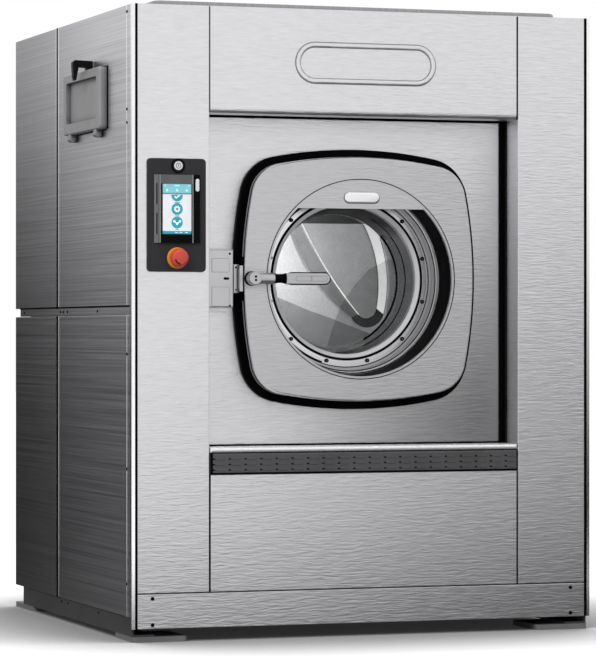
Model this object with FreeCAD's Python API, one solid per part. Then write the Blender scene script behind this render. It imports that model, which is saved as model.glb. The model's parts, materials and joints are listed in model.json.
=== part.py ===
import FreeCAD, Part
import math
import os
from FreeCAD import Vector as V

# Washer-extractor, in mm: X to the right, Y to the back, Z up.
# The origin is on the floor, midway between the four anchor holes.
os.makedirs("parts", exist_ok=True)

X = V(1, 0, 0)
Y = V(0, 1, 0)
Z = V(0, 0, 1)

# The tub sets the width and the height of the cabinet, with these clearances round it
TUB_R = 640
TUB_SIDE_GAP = 100
TUB_FLOOR_GAP = 445
TUB_TOP_GAP = 175
DOOR_Z = TUB_FLOOR_GAP + TUB_R

# Cabinet
WIDTH = 2 * (TUB_R + TUB_SIDE_GAP)
DEPTH = 1400
SIDE = WIDTH / 2
FRONT = -DEPTH / 2
BACK = DEPTH / 2
SHEET = 2
SEAM = 3
FOLD = 22
TOP = DOOR_Z + TUB_R + TUB_TOP_GAP
LID_TOP = TOP + 18
LID_HALF_W = SIDE - 85
LID_FRONT = FRONT + 60

# Base and frame
FOOT_T = 16
FOOT_W = 170
FOOT_L = 200
FOOT_FRONT = FRONT + 5
FOOT_REAR = BACK + 20
FOOT_REAR_L = 240
RAIL_W = 70
RAIL_OUT = SIDE - 4
RAIL_FRONT = FRONT + 17
RAIL_REAR = BACK - 90
RAIL_T = 6
ANCHOR_X = RAIL_OUT - FOOT_W + 39
ANCHOR_Y = BACK - 160
ANCHOR_R = 9
CLAD_Z0 = 74
RING_H = 20
POST = 40
MID_Z0 = DOOR_Z - 110
MID_H = 25
MID_Z1 = MID_Z0 + MID_H
MID_REAR = BACK - 60
SPLIT_Y = FRONT + 857
SKIN_IN = SIDE - 7
REAR_IN = BACK - 12
REAR_POST_X = SIDE - 90

# Front divisions
PILLAR_W = 224
PILLAR_OUT = SIDE - 16
PILLAR_IN = PILLAR_OUT - PILLAR_W
CORNER_POST_X = PILLAR_OUT - 54
RECESS_HALF_W = PILLAR_IN - 16
DOOR_HALF_W = RECESS_HALF_W - 116
DOOR_HALF_H = DOOR_HALF_W + 5
PANEL_Z0 = 40
PLINTH_Z1 = 143
SILL_Z1 = DOOR_Z - DOOR_HALF_H - 134
SILL_Z0 = SILL_Z1 - 16
GRILLE_H = 60
GRILLE_Z1 = SILL_Z0 - SEAM
GRILLE_Z0 = GRILLE_Z1 - GRILLE_H
HEADER_Z0 = DOOR_Z + DOOR_HALF_H + 122
LIP_R = 16
CHEEK_REAR = FRONT + 86
SEAL_REAR = FRONT + 16
JAMB_Y0 = FRONT + 60
JAMB_Y1 = FRONT + 128
GRILLE_COLS = 20
GRILLE_ROWS = 3
GRILLE_PROUD = 6
FIELD_W = 452
FIELD_H = 123
FIELD_RIM = 14
FIELD_PROUD = 6
FIELD_Z = TOP - 162

# Door recess, mouth and door
RECESS_Y = FRONT + 115
RECESS_Z0 = SILL_Z1 + 5
RECESS_Z1 = HEADER_Z0 - 6
DOOR_FACE = FRONT + 40
DOOR_FACE_T = 10
DOOR_BACK = FRONT + 96
DOOR_SIDE_R = 1360
DOOR_CORNER_R = 105
DOOR_EDGE_R = 6
GASKET_GROW = 25
GASKET_IN = -34
RUN = 0.5
WINDOW_SEAM_R = DOOR_HALF_W - 63
WINDOW_R = WINDOW_SEAM_R - 8
MOUTH_R = WINDOW_SEAM_R + 3
CHORD_Z = DOOR_Z + WINDOW_SEAM_R - 90
BADGE_W = 112
BADGE_H = 32
BADGE_Z = CHORD_Z + 34
TUNNEL_R = WINDOW_R + 2
GLASS_RING_Y = FRONT + 172
GLASS_RING_T = 10
GLASS_RING_OUT = TUNNEL_R - 19
GLASS_RING_IN = TUNNEL_R - 58
BOLT_CIRCLE_R = GLASS_RING_IN + 17
BOLT_COUNT = 12
BOLT_R = 6
GLASS_T = 8
GLASS_DEEP = 118

# Tongue on the door glass: height, and its foot and crown outlines as shares of the clamp ring radius
DEFLECTOR_H = 15
DEFLECTOR_FOOT = ((-0.63, 0.93), (-0.34, 0.14), (0.24, -0.48), (0.48, -0.61), (0.69, -0.44), (0.73, 0.15),
                  (0.41, 0.98))
DEFLECTOR_CROWN = ((-0.52, 0.95), (-0.19, 0.31), (0.36, -0.44), (0.47, -0.49), (0.61, -0.36), (0.62, 0.17),
                   (0.26, 0.98))

# Hinge, handle and latch
HINGE_X = DOOR_HALF_W + 4
HINGE_Y = FRONT + 82
HINGE_DZ = 0.2 * DOOR_HALF_H
KNUCKLE_R = 9
KNUCKLE_L = 30
PIN_R = 5
PIN_FIT = 0.05
HANDLE_X = -DOOR_HALF_W + 13
HANDLE_Y = DOOR_FACE - 28
HANDLE_R = 17
BARREL_L = 62
SLEEVE_L = 38
LEVER_L = 141
BOLT_Y = HINGE_Y + 1
BOLT_T = 12
BOLT_H = 26
BOLT_GAP = 0.6
LOCK_W = 83
LOCK_X1 = -DOOR_HALF_W - 32
LOCK_X0 = LOCK_X1 - LOCK_W
LOCK_FRONT = FRONT + 71

# Controls on the left pillar
CTRL_W = 183
CTRL_X0 = -PILLAR_OUT + 29
CTRL_X1 = CTRL_X0 + CTRL_W
CTRL_Z0 = DOOR_Z + 18
CTRL_Z1 = CTRL_Z0 + 338
CTRL_T = 6
SCREEN_X0 = CTRL_X0 + 42
SCREEN_X1 = SCREEN_X0 + 103
SCREEN_Z0 = CTRL_Z0 + 104
SCREEN_Z1 = SCREEN_Z0 + 167
COVER_X1 = SCREEN_X1 + 16
COVER_Z0 = SCREEN_Z0 - 18
COVER_Z1 = SCREEN_Z1 + 18
COVER_PIN_X = SCREEN_X0 - 11
COVER_PIN_R = 2
GRIP_W = 11
GRIP_H = 38
BUTTON_X = CTRL_X0 + 95
BUTTON_Z = CTRL_Z1 - 22
BUTTON_R = 13.5
STOP_X = CTRL_X0 + 93
STOP_Z = CTRL_Z0 + 41
STOP_COLLAR_R = 32
STOP_HEAD_R = 27.5
STEM_R = 10

# Soap hatch on the left side
FLAP_Y0 = FRONT + 273
FLAP_Y1 = FLAP_Y0 + 421
FLAP_Z1 = TOP - 167
FLAP_Z0 = FLAP_Z1 - 190
FLAP_T = 24
FLAP_X = -SIDE - 1 - FLAP_T
FLAP_POCKET = 14
FLAP_RIM = 34
FLAP_PIN_X = -SIDE - 13
FLAP_PIN_Z = FLAP_Z0 - 12
FLAP_LUG_R = 10
FLAP_PIN_R = 4
LUG_YS = (FLAP_Y0 + 57, FLAP_Y1 - 69)
LUG_W = 26
HOPPER_X1 = -SIDE + 285
HOOK_Y = FLAP_Y0 + 157
HOOK_W = 22

# Drum, tub and drive
TUB_T = 4
TUB_Y0 = FRONT + 216
TUB_Y1 = BACK - 266
NECK_R = MOUTH_R + 4
DRUM_R = TUB_R - 42
DRUM_T = 4
DRUM_Y0 = TUB_Y0 + 32
DRUM_Y1 = TUB_Y1 - 46
DRUM_MOUTH_R = MOUTH_R + 10
LIFTER_H = 95
SHAFT_R = 50
BEARING_R = 88
PULLEY_R = 250
PULLEY_Y0 = BACK - 84
PULLEY_W = 54
GROOVES = 3
MOTOR_X = 380
MOTOR_Z = 305
MOTOR_R = 130
MOTOR_Y0 = PULLEY_Y0 - 416
MOTOR_L = 360
MOTOR_SHAFT_R = 24
MOTOR_PULLEY_R = 62
BELT_GAP = 0.5
CRADLE_YS = (TUB_Y0 + 174, TUB_Y1 - 284)
CRADLE_T = 20
DRAIN_Y = -60
DRAIN_R = 40
DRAIN_T = 5
DRAIN_PIPE_Z = 190
SPIGOT_R = 44
SPIGOT_GAP = 3
INLET_XS = (-SIDE + 140, -SIDE + 200)
INLET_Z = FLAP_Z0 + 97
INLET_R = 13


def box(x0, x1, y0, y1, z0, z1):
    return Part.makeBox(x1 - x0, y1 - y0, z1 - z0, V(x0, y0, z0))


def rod(x, y, z, axis, r, length):
    return Part.makeCylinder(r, length, V(x, y, z), axis)


def pipe(x, y, z, axis, r_out, r_in, length):
    return rod(x, y, z, axis, r_out, length).cut(rod(x, y, z, axis, r_in, length))


def fuse(*shapes):
    return shapes[0].multiFuse(list(shapes[1:])).removeSplitter()


def turned(profile, x, z):
    """Revolve (radius, y) points about the Y line through x, z."""
    pts = [V(x + r, y, z) for r, y in profile]
    return Part.Face(Part.makePolygon(pts + pts[:1])).revolve(V(x, 0, z), Y, 360)


def plate_y(points, y0, y1):
    """Extrude (x, z) points from y0 to y1."""
    pts = [V(x, y0, z) for x, z in points]
    return Part.Face(Part.makePolygon(pts + pts[:1])).extrude(V(0, y1 - y0, 0))


def plate_x(points, x0, x1):
    """Extrude (y, z) points from x0 to x1."""
    pts = [V(x0, y, z) for y, z in points]
    return Part.Face(Part.makePolygon(pts + pts[:1])).extrude(V(x1 - x0, 0, 0))


def soften(shape, r, axis):
    """Round the straight edges that run along one axis."""
    along = [e for e in shape.Edges if abs(e.tangentAt(e.FirstParameter).dot(axis)) > 0.99]
    return shape.makeFillet(r, along)


def round_where(shape, r, test):
    """Round the edges whose end points all pass the test."""
    return shape.makeFillet(r, [e for e in shape.Edges if all(test(v.Point) for v in e.Vertexes)])


def slab(x0, x1, y0, y1, z0, z1, r):
    """Plate in the XZ plane with rounded corners."""
    return soften(box(x0, x1, y0, y1, z0, z1), r, Y)


def stadium(cx, cz, w, h, y0, y1):
    return slab(cx - w / 2, cx + w / 2, y0, y1, cz - h / 2, cz + h / 2, h * 0.499)


def tray(x0, x1, y0, y1, z0, z1, skin):
    """Folded sheet: a skin on one side, its folded edges behind it, open at the back."""
    lo = [x0, y0, z0]
    hi = [x1, y1, z1]
    a = [v + SHEET for v in lo]
    b = [v - SHEET for v in hi]
    k = "xyz".index(skin[1])
    if skin[0] == "-":
        b[k] = hi[k] + 1
    else:
        a[k] = lo[k] - 1
    return box(x0, x1, y0, y1, z0, z1).cut(box(a[0], b[0], a[1], b[1], a[2], b[2]))


def mirror_x(shape):
    return shape.mirror(V(0, 0, 0), X)


def both(shape):
    return Part.makeCompound([shape, mirror_x(shape)])


def squircle(grow, y0, y1):
    """Door outline: shallow side arcs and tangent corner arcs, grown outward."""
    hw = DOOR_HALF_W + grow
    hh = DOOR_HALF_H + grow
    big = DOOR_SIDE_R + grow
    r = DOOR_CORNER_R + grow
    ax = big - hw
    bz = big - hh
    k = big - r
    d = math.hypot(ax, bz)
    h = math.sqrt(k * k - d * d / 4)
    cx = -ax / 2 + h * bz / d
    cz = -bz / 2 + h * ax / d
    side = (cx + r * (cx + ax) / k, cz + r * cz / k)
    top = (cx + r * cx / k, cz + r * (cz + bz) / k)
    mx = (cx + ax) + cx
    mz = cz + (cz + bz)
    m = math.hypot(mx, mz)
    mid = (cx + r * mx / m, cz + r * mz / m)

    def at(p, sx, sz):
        return V(sx * p[0], y0, DOOR_Z + sz * p[1])

    edges = []
    for sx, sz in ((1, 1), (-1, 1), (-1, -1), (1, -1)):
        first, last = (side, top) if sx * sz > 0 else (top, side)
        edges.append(Part.Arc(at(first, sx, sz), at(mid, sx, sz), at(last, sx, sz)).toShape())
    flat = ((0, hh), (-hw, 0), (0, -hh), (hw, 0))
    ends = ((top, 1, 1, -1, 1), (side, -1, 1, -1, -1), (top, -1, -1, 1, -1), (side, 1, -1, 1, 1))
    for (px, pz), (p, ax1, az1, ax2, az2) in zip(flat, ends):
        edges.append(Part.Arc(at(p, ax1, az1), V(px, y0, DOOR_Z + pz), at(p, ax2, az2)).toShape())
    wire = Part.Wire(Part.__sortEdges__(edges))
    return Part.Face(wire).extrude(V(0, y1 - y0, 0))


def disc(r, y0, y1):
    return rod(0, y0, DOOR_Z, Y, r, y1 - y0)


def foot_plates():
    """Four floor plates, each with one anchor hole and a clipped inner corner."""
    plates = []
    for sx in (-1, 1):
        for y0, y1, ya in ((FOOT_FRONT, FOOT_FRONT + FOOT_L, -ANCHOR_Y),
                           (FOOT_REAR - FOOT_REAR_L, FOOT_REAR, ANCHOR_Y)):
            x0, x1 = sorted((sx * RAIL_OUT, sx * (RAIL_OUT - FOOT_W)))
            plate = soften(box(x0, x1, y0, y1, 0, FOOT_T), 12, Z)
            plates.append(plate.cut(rod(sx * ANCHOR_X, ya, 0, Z, ANCHOR_R, FOOT_T)))
    return Part.makeCompound(plates)


def base_frame():
    """Channel side rails, box cross members and the ring that carries the posts."""
    inner = RAIL_OUT - RAIL_W
    rail = box(inner, RAIL_OUT, RAIL_FRONT, RAIL_REAR, FOOT_T, CLAD_Z0)
    rail = rail.cut(box(inner - 1, RAIL_OUT - RAIL_T, RAIL_FRONT - 1, RAIL_REAR + 1,
                        FOOT_T + RAIL_T, CLAD_Z0 - RAIL_T))
    z1 = CLAD_Z0 + RING_H
    parts = [rail, mirror_x(rail)]
    front = FRONT + SHEET
    ring = box(-SKIN_IN, SKIN_IN, front, REAR_IN, CLAD_Z0, z1)
    ring = ring.cut(box(-inner, inner, front + POST, REAR_IN - POST, CLAD_Z0, z1))
    notch = box(PILLAR_OUT, SKIN_IN, front, SEAL_REAR, CLAD_Z0, z1)
    parts.append(ring.cut(both(notch)))
    for y in CRADLE_YS:
        parts.append(box(-inner, inner, y - 30, y + CRADLE_T + 30, FOOT_T + RAIL_T + 20, z1))
    for y in (MOTOR_Y0 + 50, MOTOR_Y0 + 270):
        parts.append(box(-inner, inner, y, y + 60, FOOT_T + RAIL_T + 20, z1))
    return fuse(*parts)


def upper_frame():
    """Corner posts, recess jambs, side posts, panel rails and the top ring, all square tube."""
    z0 = CLAD_Z0 + RING_H
    z1 = TOP - 4 - POST
    y_front = FRONT + FOLD
    jamb = PILLAR_IN + SHEET
    parts = []
    for sx in (-1, 1):
        spots = ((CORNER_POST_X, CORNER_POST_X + POST, y_front, y_front + POST),
                 (REAR_POST_X, REAR_POST_X + POST, REAR_IN - POST, REAR_IN),
                 (SKIN_IN - POST / 2, SKIN_IN, SPLIT_Y - POST / 2, SPLIT_Y + POST / 2),
                 (jamb, jamb + POST, JAMB_Y0, JAMB_Y1))
        for x0, x1, y0, y1 in spots:
            a, b = sorted((sx * x0, sx * x1))
            parts.append(box(a, b, y0, y1, z0, z1))
    ring = box(-SKIN_IN, SKIN_IN, y_front + 4, REAR_IN, z1, z1 + POST)
    ring = ring.cut(box(-SKIN_IN + POST, SKIN_IN - POST, JAMB_Y1, REAR_IN - POST, z1, z1 + POST))
    parts.append(ring)
    head = HEADER_Z0 + SHEET
    for y0, za, zb in ((JAMB_Y0, head, head + POST), (y_front, GRILLE_Z0 - POST, SILL_Z0)):
        parts.append(box(-PILLAR_IN, PILLAR_IN, y0, JAMB_Y1, za, zb))
        parts.append(box(-jamb, jamb, CHEEK_REAR, JAMB_Y1, za, zb))
    for x in (-PILLAR_IN + 60, PILLAR_IN - 60 - POST):
        parts.append(box(x, x + POST, JAMB_Y0, JAMB_Y1, head + POST, z1))
    return fuse(*parts)


def pillar(sx):
    """Front pillar: face, deep cheek beside the recess and a short outer fold."""
    z0 = PLINTH_Z1 + SEAM
    face = box(PILLAR_IN, PILLAR_OUT, FRONT, FRONT + SHEET, z0, TOP)
    cheek = box(PILLAR_IN, PILLAR_IN + SHEET, FRONT, CHEEK_REAR, z0, TOP - 2 * POST)
    fold = box(PILLAR_OUT - SHEET, PILLAR_OUT, FRONT, FRONT + FOLD, z0, TOP)
    body = fuse(face, cheek, fold)
    body = round_where(body, SHEET * 0.9, lambda p: p.y < FRONT + 0.1 and PLINTH_Z1 < p.z)
    if sx < 0:
        body = mirror_x(body)
        y = FRONT - 1
        body = body.cut(box(SCREEN_X0, SCREEN_X1, y, y + 6, SCREEN_Z0, SCREEN_Z1))
        body = body.cut(rod(BUTTON_X, y, BUTTON_Z, Y, BUTTON_R + RUN, 6))
        body = body.cut(rod(STOP_X, y, STOP_Z, Y, STEM_R + RUN, 6))
    return body


def header_panel():
    """Front header with a rolled lower lip and a plain raised oval field."""
    w = PILLAR_IN - SEAM
    outer = box(-w, w, FRONT, CHEEK_REAR, HEADER_Z0, TOP)
    outer = round_where(outer, LIP_R, lambda p: p.y < FRONT + 0.1 and p.z < HEADER_Z0 + 0.1)
    inner = box(-w - 1, w + 1, FRONT + SHEET, CHEEK_REAR + 1, HEADER_Z0 + SHEET, TOP - SHEET)
    inner = round_where(inner, LIP_R - SHEET,
                        lambda p: p.y < FRONT + SHEET + 0.1 and p.z < HEADER_Z0 + SHEET + 0.1)
    panel = outer.cut(inner).cut(box(-w, w, FRONT + FOLD, CHEEK_REAR, TOP - SHEET, TOP))
    rim = stadium(0, FIELD_Z, FIELD_W, FIELD_H, FRONT - FIELD_PROUD, FRONT + 0.5)
    edge = 2 * FIELD_RIM
    rim = rim.cut(stadium(0, FIELD_Z, FIELD_W - edge, FIELD_H - edge, FRONT - FIELD_PROUD, FRONT + 0.5))
    rim = round_where(rim, FIELD_PROUD * 0.9, lambda p: p.y < FRONT - FIELD_PROUD + 0.1)
    return fuse(panel, rim)


def front_sill():
    """Bright nosing across the foot of the recess."""
    w = PILLAR_IN - SEAM
    nose = box(-w, w, FRONT - 4, RECESS_Y, SILL_Z0, SILL_Z1)
    return round_where(nose, 7.9, lambda p: p.y < FRONT - 3.9)


def vent_grille():
    """Dark strip with rows of short louvre slots over its whole length."""
    w = PILLAR_IN - SEAM
    strip = box(-w, w, FRONT - GRILLE_PROUD, FRONT + FOLD, GRILLE_Z0, GRILLE_Z1)
    strip = round_where(strip, 4, lambda p: p.y < FRONT - GRILLE_PROUD + 0.1)
    pitch = 2 * w / GRILLE_COLS
    rise = (GRILLE_Z1 - GRILLE_Z0) / (GRILLE_ROWS + 0.6)
    slots = []
    for i in range(GRILLE_COLS):
        x = -w + pitch * (i + 0.5)
        for j in range(GRILLE_ROWS):
            z = GRILLE_Z0 + rise * (j + 0.8)
            pts = [(FRONT - 20, z - 9), (FRONT - 20, z - 4), (FRONT + 30, z + 9), (FRONT + 30, z + 4)]
            slots.append(plate_x(pts, x - pitch * 0.38, x + pitch * 0.38))
    return strip.cut(Part.makeCompound(slots))


def lower_front_panel():
    w = PILLAR_IN - SEAM
    skin = tray(-w, w, FRONT, FRONT + FOLD, PLINTH_Z1 + SEAM, GRILLE_Z0 - SEAM, "-y")
    return round_where(skin, SHEET * 0.9, lambda p: p.y < FRONT + 0.1)


def plinth_panel():
    """Kick plate: its top edge is folded back, its foot runs down past the base ring."""
    face = box(-PILLAR_OUT, PILLAR_OUT, FRONT, FRONT + SHEET, PANEL_Z0, PLINTH_Z1)
    fold = box(-PILLAR_OUT, PILLAR_OUT, FRONT, FRONT + FOLD, PLINTH_Z1 - SHEET, PLINTH_Z1)
    return round_where(fuse(face, fold), SHEET * 0.9, lambda p: p.y < FRONT + 0.1)


def side_skin(y0, y1, z0, z1):
    """One left side cladding sheet with folded edges."""
    skin = tray(-SIDE, -SKIN_IN, y0, y1, z0, z1, "-x")
    return round_where(skin, SHEET * 0.9, lambda p: p.x < -SIDE + 0.1)


def side_panels():
    """The four sheets of the left side: front and rear, above and below the mid rail."""
    x1 = -REAR_POST_X - POST - 1
    rear_fold = box(-SIDE + SHEET, x1, BACK - SHEET, BACK, MID_Z1 + 1, TOP - 4)
    low_fold = box(-SIDE + SHEET, x1, BACK - SHEET, BACK, CLAD_Z0, MID_Z0 - 1)
    front_up = side_skin(FRONT, SPLIT_Y - SEAM / 2, MID_Z1 + 1, TOP)
    front_low = side_skin(FRONT, SPLIT_Y - SEAM / 2, CLAD_Z0, MID_Z0 - 1)
    rear_up = fuse(side_skin(SPLIT_Y + SEAM / 2, BACK, MID_Z1 + 1, TOP), rear_fold)
    rear_low = fuse(side_skin(SPLIT_Y + SEAM / 2, BACK, CLAD_Z0, MID_Z0 - 1), low_fold)
    return front_up, front_low, rear_up, rear_low


def mid_rails():
    rail = tray(-SIDE + 1, -SKIN_IN, FRONT + 14, MID_REAR, MID_Z0, MID_Z1, "-x")
    return both(round_where(rail, 1.5, lambda p: p.x < -SIDE + 1.1))


def rear_panel(z0, z1):
    half = REAR_POST_X + POST - 2
    return tray(-half, half, REAR_IN, BACK, z0, z1, "+y")


def top_cover():
    """Lid: a flat tray on the top ring with a raised, soft-edged middle."""
    rim = box(-SKIN_IN + 1, SKIN_IN - 1, FRONT + FOLD + 4, BACK - 4, TOP - 4, TOP)
    crown = box(-LID_HALF_W, LID_HALF_W, LID_FRONT, BACK - 60, TOP, LID_TOP)
    crown = soften(crown, 30, Z)
    crown = round_where(crown, 8, lambda p: p.z > LID_TOP - 0.1)
    return fuse(rim, crown)


def corner_seals():
    """Black strips that fill the seams between the pillars and the side sheets."""
    strip = box(PILLAR_OUT, SKIN_IN, FRONT + 6, SEAL_REAR, PANEL_Z0, TOP - 4)
    return both(strip)


def control_panel():
    """Plate with the screen window, the stop hole and the raised button surround."""
    y0 = FRONT - CTRL_T
    plate = slab(CTRL_X0, CTRL_X1, y0, FRONT, CTRL_Z0, CTRL_Z1, 12)
    plate = round_where(plate, 2, lambda p: p.y < y0 + 0.1)
    ring = rod(BUTTON_X, y0 - 3, BUTTON_Z, Y, BUTTON_R + 4, 4)
    plate = fuse(plate, ring)
    plate = plate.cut(box(SCREEN_X0, SCREEN_X1, y0 - 1, FRONT + 1, SCREEN_Z0, SCREEN_Z1))
    plate = plate.cut(rod(BUTTON_X, y0 - 5, BUTTON_Z, Y, BUTTON_R + RUN, 20))
    return plate.cut(rod(STOP_X, y0 - 5, STOP_Z, Y, STEM_R + RUN, 20))


def display_module():
    return box(SCREEN_X0, SCREEN_X1, FRONT - CTRL_T + 2, FRONT + 34, SCREEN_Z0, SCREEN_Z1)


COVER_Y = FRONT - CTRL_T - 5
COVER_HALF_T = 2.2
COVER_BARREL_R = 4
BARREL = 25
COVER_SPAN = COVER_Z1 - COVER_Z0
COVER_FREE = ((BARREL, (COVER_SPAN - BARREL) / 2), ((COVER_SPAN + BARREL) / 2, COVER_SPAN - BARREL))


def cover_hinge():
    """Fixed hinge strip with three barrels and the pin of the screen cover."""
    strip = box(COVER_PIN_X - 10, COVER_PIN_X, COVER_Y + 2, FRONT - CTRL_T, COVER_Z0, COVER_Z1)
    barrel = rod(COVER_PIN_X, COVER_Y, COVER_Z0, Z, COVER_BARREL_R, COVER_SPAN)
    body = fuse(strip, barrel)
    for a, b in COVER_FREE:
        body = body.cut(rod(COVER_PIN_X, COVER_Y, COVER_Z0 + a, Z, COVER_BARREL_R + RUN, b - a))
    return fuse(body, rod(COVER_PIN_X, COVER_Y, COVER_Z0, Z, COVER_PIN_R, COVER_SPAN))


def screen_cover():
    """Smoked window leaf with its two barrels."""
    leaf = slab(COVER_PIN_X + 5, COVER_X1, COVER_Y - COVER_HALF_T, COVER_Y + COVER_HALF_T,
                COVER_Z0, COVER_Z1, 3)
    parts = [leaf]
    for a, b in COVER_FREE:
        z0 = COVER_Z0 + a + RUN
        z1 = COVER_Z0 + b - RUN
        parts.append(rod(COVER_PIN_X, COVER_Y, z0, Z, COVER_BARREL_R, z1 - z0))
        parts.append(box(COVER_PIN_X, COVER_PIN_X + 8, COVER_Y - COVER_HALF_T, COVER_Y + COVER_HALF_T, z0, z1))
    return fuse(*parts).cut(rod(COVER_PIN_X, COVER_Y, COVER_Z0, Z, COVER_PIN_R + PIN_FIT, COVER_SPAN))


def screen_grip():
    y1 = COVER_Y - COVER_HALF_T
    x1 = COVER_X1 - 3
    z1 = COVER_Z1 - 12
    grip = slab(x1 - GRIP_W, x1, y1 - 9, y1, z1 - GRIP_H, z1, GRIP_W * 0.49)
    return round_where(grip, 3, lambda p: p.y < y1 - 8.9)


def push_button():
    y0 = FRONT - CTRL_T - 7
    cap = rod(BUTTON_X, y0, BUTTON_Z, Y, BUTTON_R, 16.5)
    cap = round_where(cap, 1.5, lambda p: p.y < y0 + 0.1)
    return fuse(cap, rod(BUTTON_X, FRONT + SHEET + RUN, BUTTON_Z, Y, BUTTON_R + 3, 4))


def stop_collar():
    y1 = FRONT - CTRL_T
    r = STOP_COLLAR_R
    bore = STEM_R + RUN
    return turned([(bore, y1 - 6), (r - 3, y1 - 6), (r, y1 - 3.5), (r, y1), (bore, y1)], STOP_X, STOP_Z)


def stop_plunger():
    y0 = FRONT - CTRL_T - 28
    stem = rod(STOP_X, y0, STOP_Z, Y, STEM_R, FRONT + 10 - y0)
    return fuse(stem, rod(STOP_X, FRONT + SHEET + RUN, STOP_Z, Y, STEM_R + 5, 5))


def stop_head():
    """Mushroom head that turns on the plunger."""
    y = FRONT - CTRL_T
    bore = STEM_R + PIN_FIT
    r = STOP_HEAD_R
    return turned([(bore, y - 16), (r - 3, y - 16), (r, y - 20), (r, y - 27), (r - 3, y - 34),
                   (r - 9, y - 39), (0, y - 41), (0, y - 28.5), (bore, y - 28.5)], STOP_X, STOP_Z)


HATCH_Y0 = FLAP_Y0 + 36
HATCH_Y1 = FLAP_Y1 - 36
HATCH_Z0 = FLAP_Z0 + 35
HATCH_Z1 = FLAP_Z1 - 30
HOPPER_T = 3
HOPPER_Z0 = HATCH_Z0 - 26
DUCT_X = HOPPER_X1 - 35
DUCT_Y = HATCH_Y0 + 176


def hatch_hole():
    return box(-SIDE - 1, -SIDE + SHEET + 1, HATCH_Y0, HATCH_Y1, HATCH_Z0, HATCH_Z1)


def dispenser_hopper():
    """Soap hopper behind the hatch, open to the left, with a duct down to the tub."""
    t = HOPPER_T
    shell = box(-SIDE + SHEET, HOPPER_X1, HATCH_Y0 - t, HATCH_Y1 + t, HOPPER_Z0, HATCH_Z1 + t)
    duct = rod(DUCT_X, DUCT_Y, DOOR_Z, Z, 22, HOPPER_Z0 + t - DOOR_Z)
    duct = duct.cut(disc(TUB_R, TUB_Y0, TUB_Y1))
    hollow = box(-SIDE, HOPPER_X1 - t, HATCH_Y0, HATCH_Y1, HOPPER_Z0 + t, HATCH_Z1)
    return fuse(shell, duct).cut(hollow).cut(rod(DUCT_X, DUCT_Y, DOOR_Z, Z, 18, TUB_R))


def flap_hinge():
    """Fixed lugs on the side sheet, each with its pin."""
    parts = []
    for y in LUG_YS:
        y0 = y + LUG_W / 2 + RUN
        lug = rod(FLAP_PIN_X, y0, FLAP_PIN_Z, Y, FLAP_LUG_R, 14)
        web = box(FLAP_PIN_X, -SIDE, y0, y0 + 14, FLAP_PIN_Z - FLAP_LUG_R, FLAP_PIN_Z + FLAP_LUG_R)
        pin = rod(FLAP_PIN_X, y0 - LUG_W - 4, FLAP_PIN_Z, Y, FLAP_PIN_R, LUG_W + 10)
        parts.append(fuse(lug, web, pin))
    return Part.makeCompound(parts)


def dispenser_flap():
    """Moulded flap: soft-edged frame, shallow pocket and two hinge lugs."""
    x1 = -SIDE - 1
    body = soften(box(FLAP_X, x1, FLAP_Y0, FLAP_Y1, FLAP_Z0, FLAP_Z1), 14, X)
    body = round_where(body, 5, lambda p: p.x < FLAP_X + 0.1)
    pocket = box(FLAP_X - 1, FLAP_X + FLAP_POCKET, FLAP_Y0 + FLAP_RIM, FLAP_Y1 - FLAP_RIM,
                 FLAP_Z0 + FLAP_RIM, FLAP_Z1 - FLAP_RIM + 7)
    pocket = soften(pocket, 12, X)
    body = body.cut(pocket)
    lugs = []
    for y in LUG_YS:
        y0 = y - LUG_W / 2
        lugs.append(rod(FLAP_PIN_X, y0, FLAP_PIN_Z, Y, FLAP_LUG_R, LUG_W))
        lugs.append(box(FLAP_PIN_X - FLAP_LUG_R, FLAP_PIN_X + 9, y0, y0 + LUG_W, FLAP_PIN_Z, FLAP_Z0 + 6))
    body = fuse(body, *lugs)
    bores = [rod(FLAP_PIN_X, y - LUG_W, FLAP_PIN_Z, Y, FLAP_PIN_R + PIN_FIT, 2 * LUG_W) for y in LUG_YS]
    return body.cut(Part.makeCompound(bores))


def flap_hook():
    """Pull hook on the top edge of the flap: an arm outward and a tapered leg down."""
    x = -SIDE - 4
    z = FLAP_Z1
    pts = [(x, z), (x, z + 27), (x - 56, z + 29), (x - 64, z + 22), (x - 62, z - 20), (x - 58, z - 34),
           (x - 53, z - 33), (x - 45, z + 8), (x - 20, z + 6), (x - 20, z)]
    return plate_y(pts, HOOK_Y - HOOK_W / 2, HOOK_Y + HOOK_W / 2)


def door_panel():
    """Recessed sheet round the loading mouth."""
    w = RECESS_HALF_W
    return tray(-w, w, RECESS_Y, RECESS_Y + FOLD, RECESS_Z0, RECESS_Z1, "-y").cut(
        disc(MOUTH_R, RECESS_Y - 1, RECESS_Y + 5))


def hinge_spots():
    return (DOOR_Z - HINGE_DZ, DOOR_Z + HINGE_DZ)


HINGE_H = 1.5 * KNUCKLE_L
BOOT_Y1 = RECESS_Y + 29


def door_gasket():
    """Door gasket on the recess sheet, notched for the hinges."""
    ring = squircle(GASKET_GROW, DOOR_BACK + RUN, RECESS_Y)
    ring = round_where(ring, 5, lambda p: p.y < DOOR_BACK + RUN + 0.1)
    ring = ring.cut(squircle(GASKET_IN, DOOR_BACK, RECESS_Y))
    notches = [box(HINGE_X - 26, HINGE_X + 12, DOOR_BACK - 1, RECESS_Y + 1, z - HINGE_H - 6, z + HINGE_H + 6)
               for z in hinge_spots()]
    return ring.cut(Part.makeCompound(notches))


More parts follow.
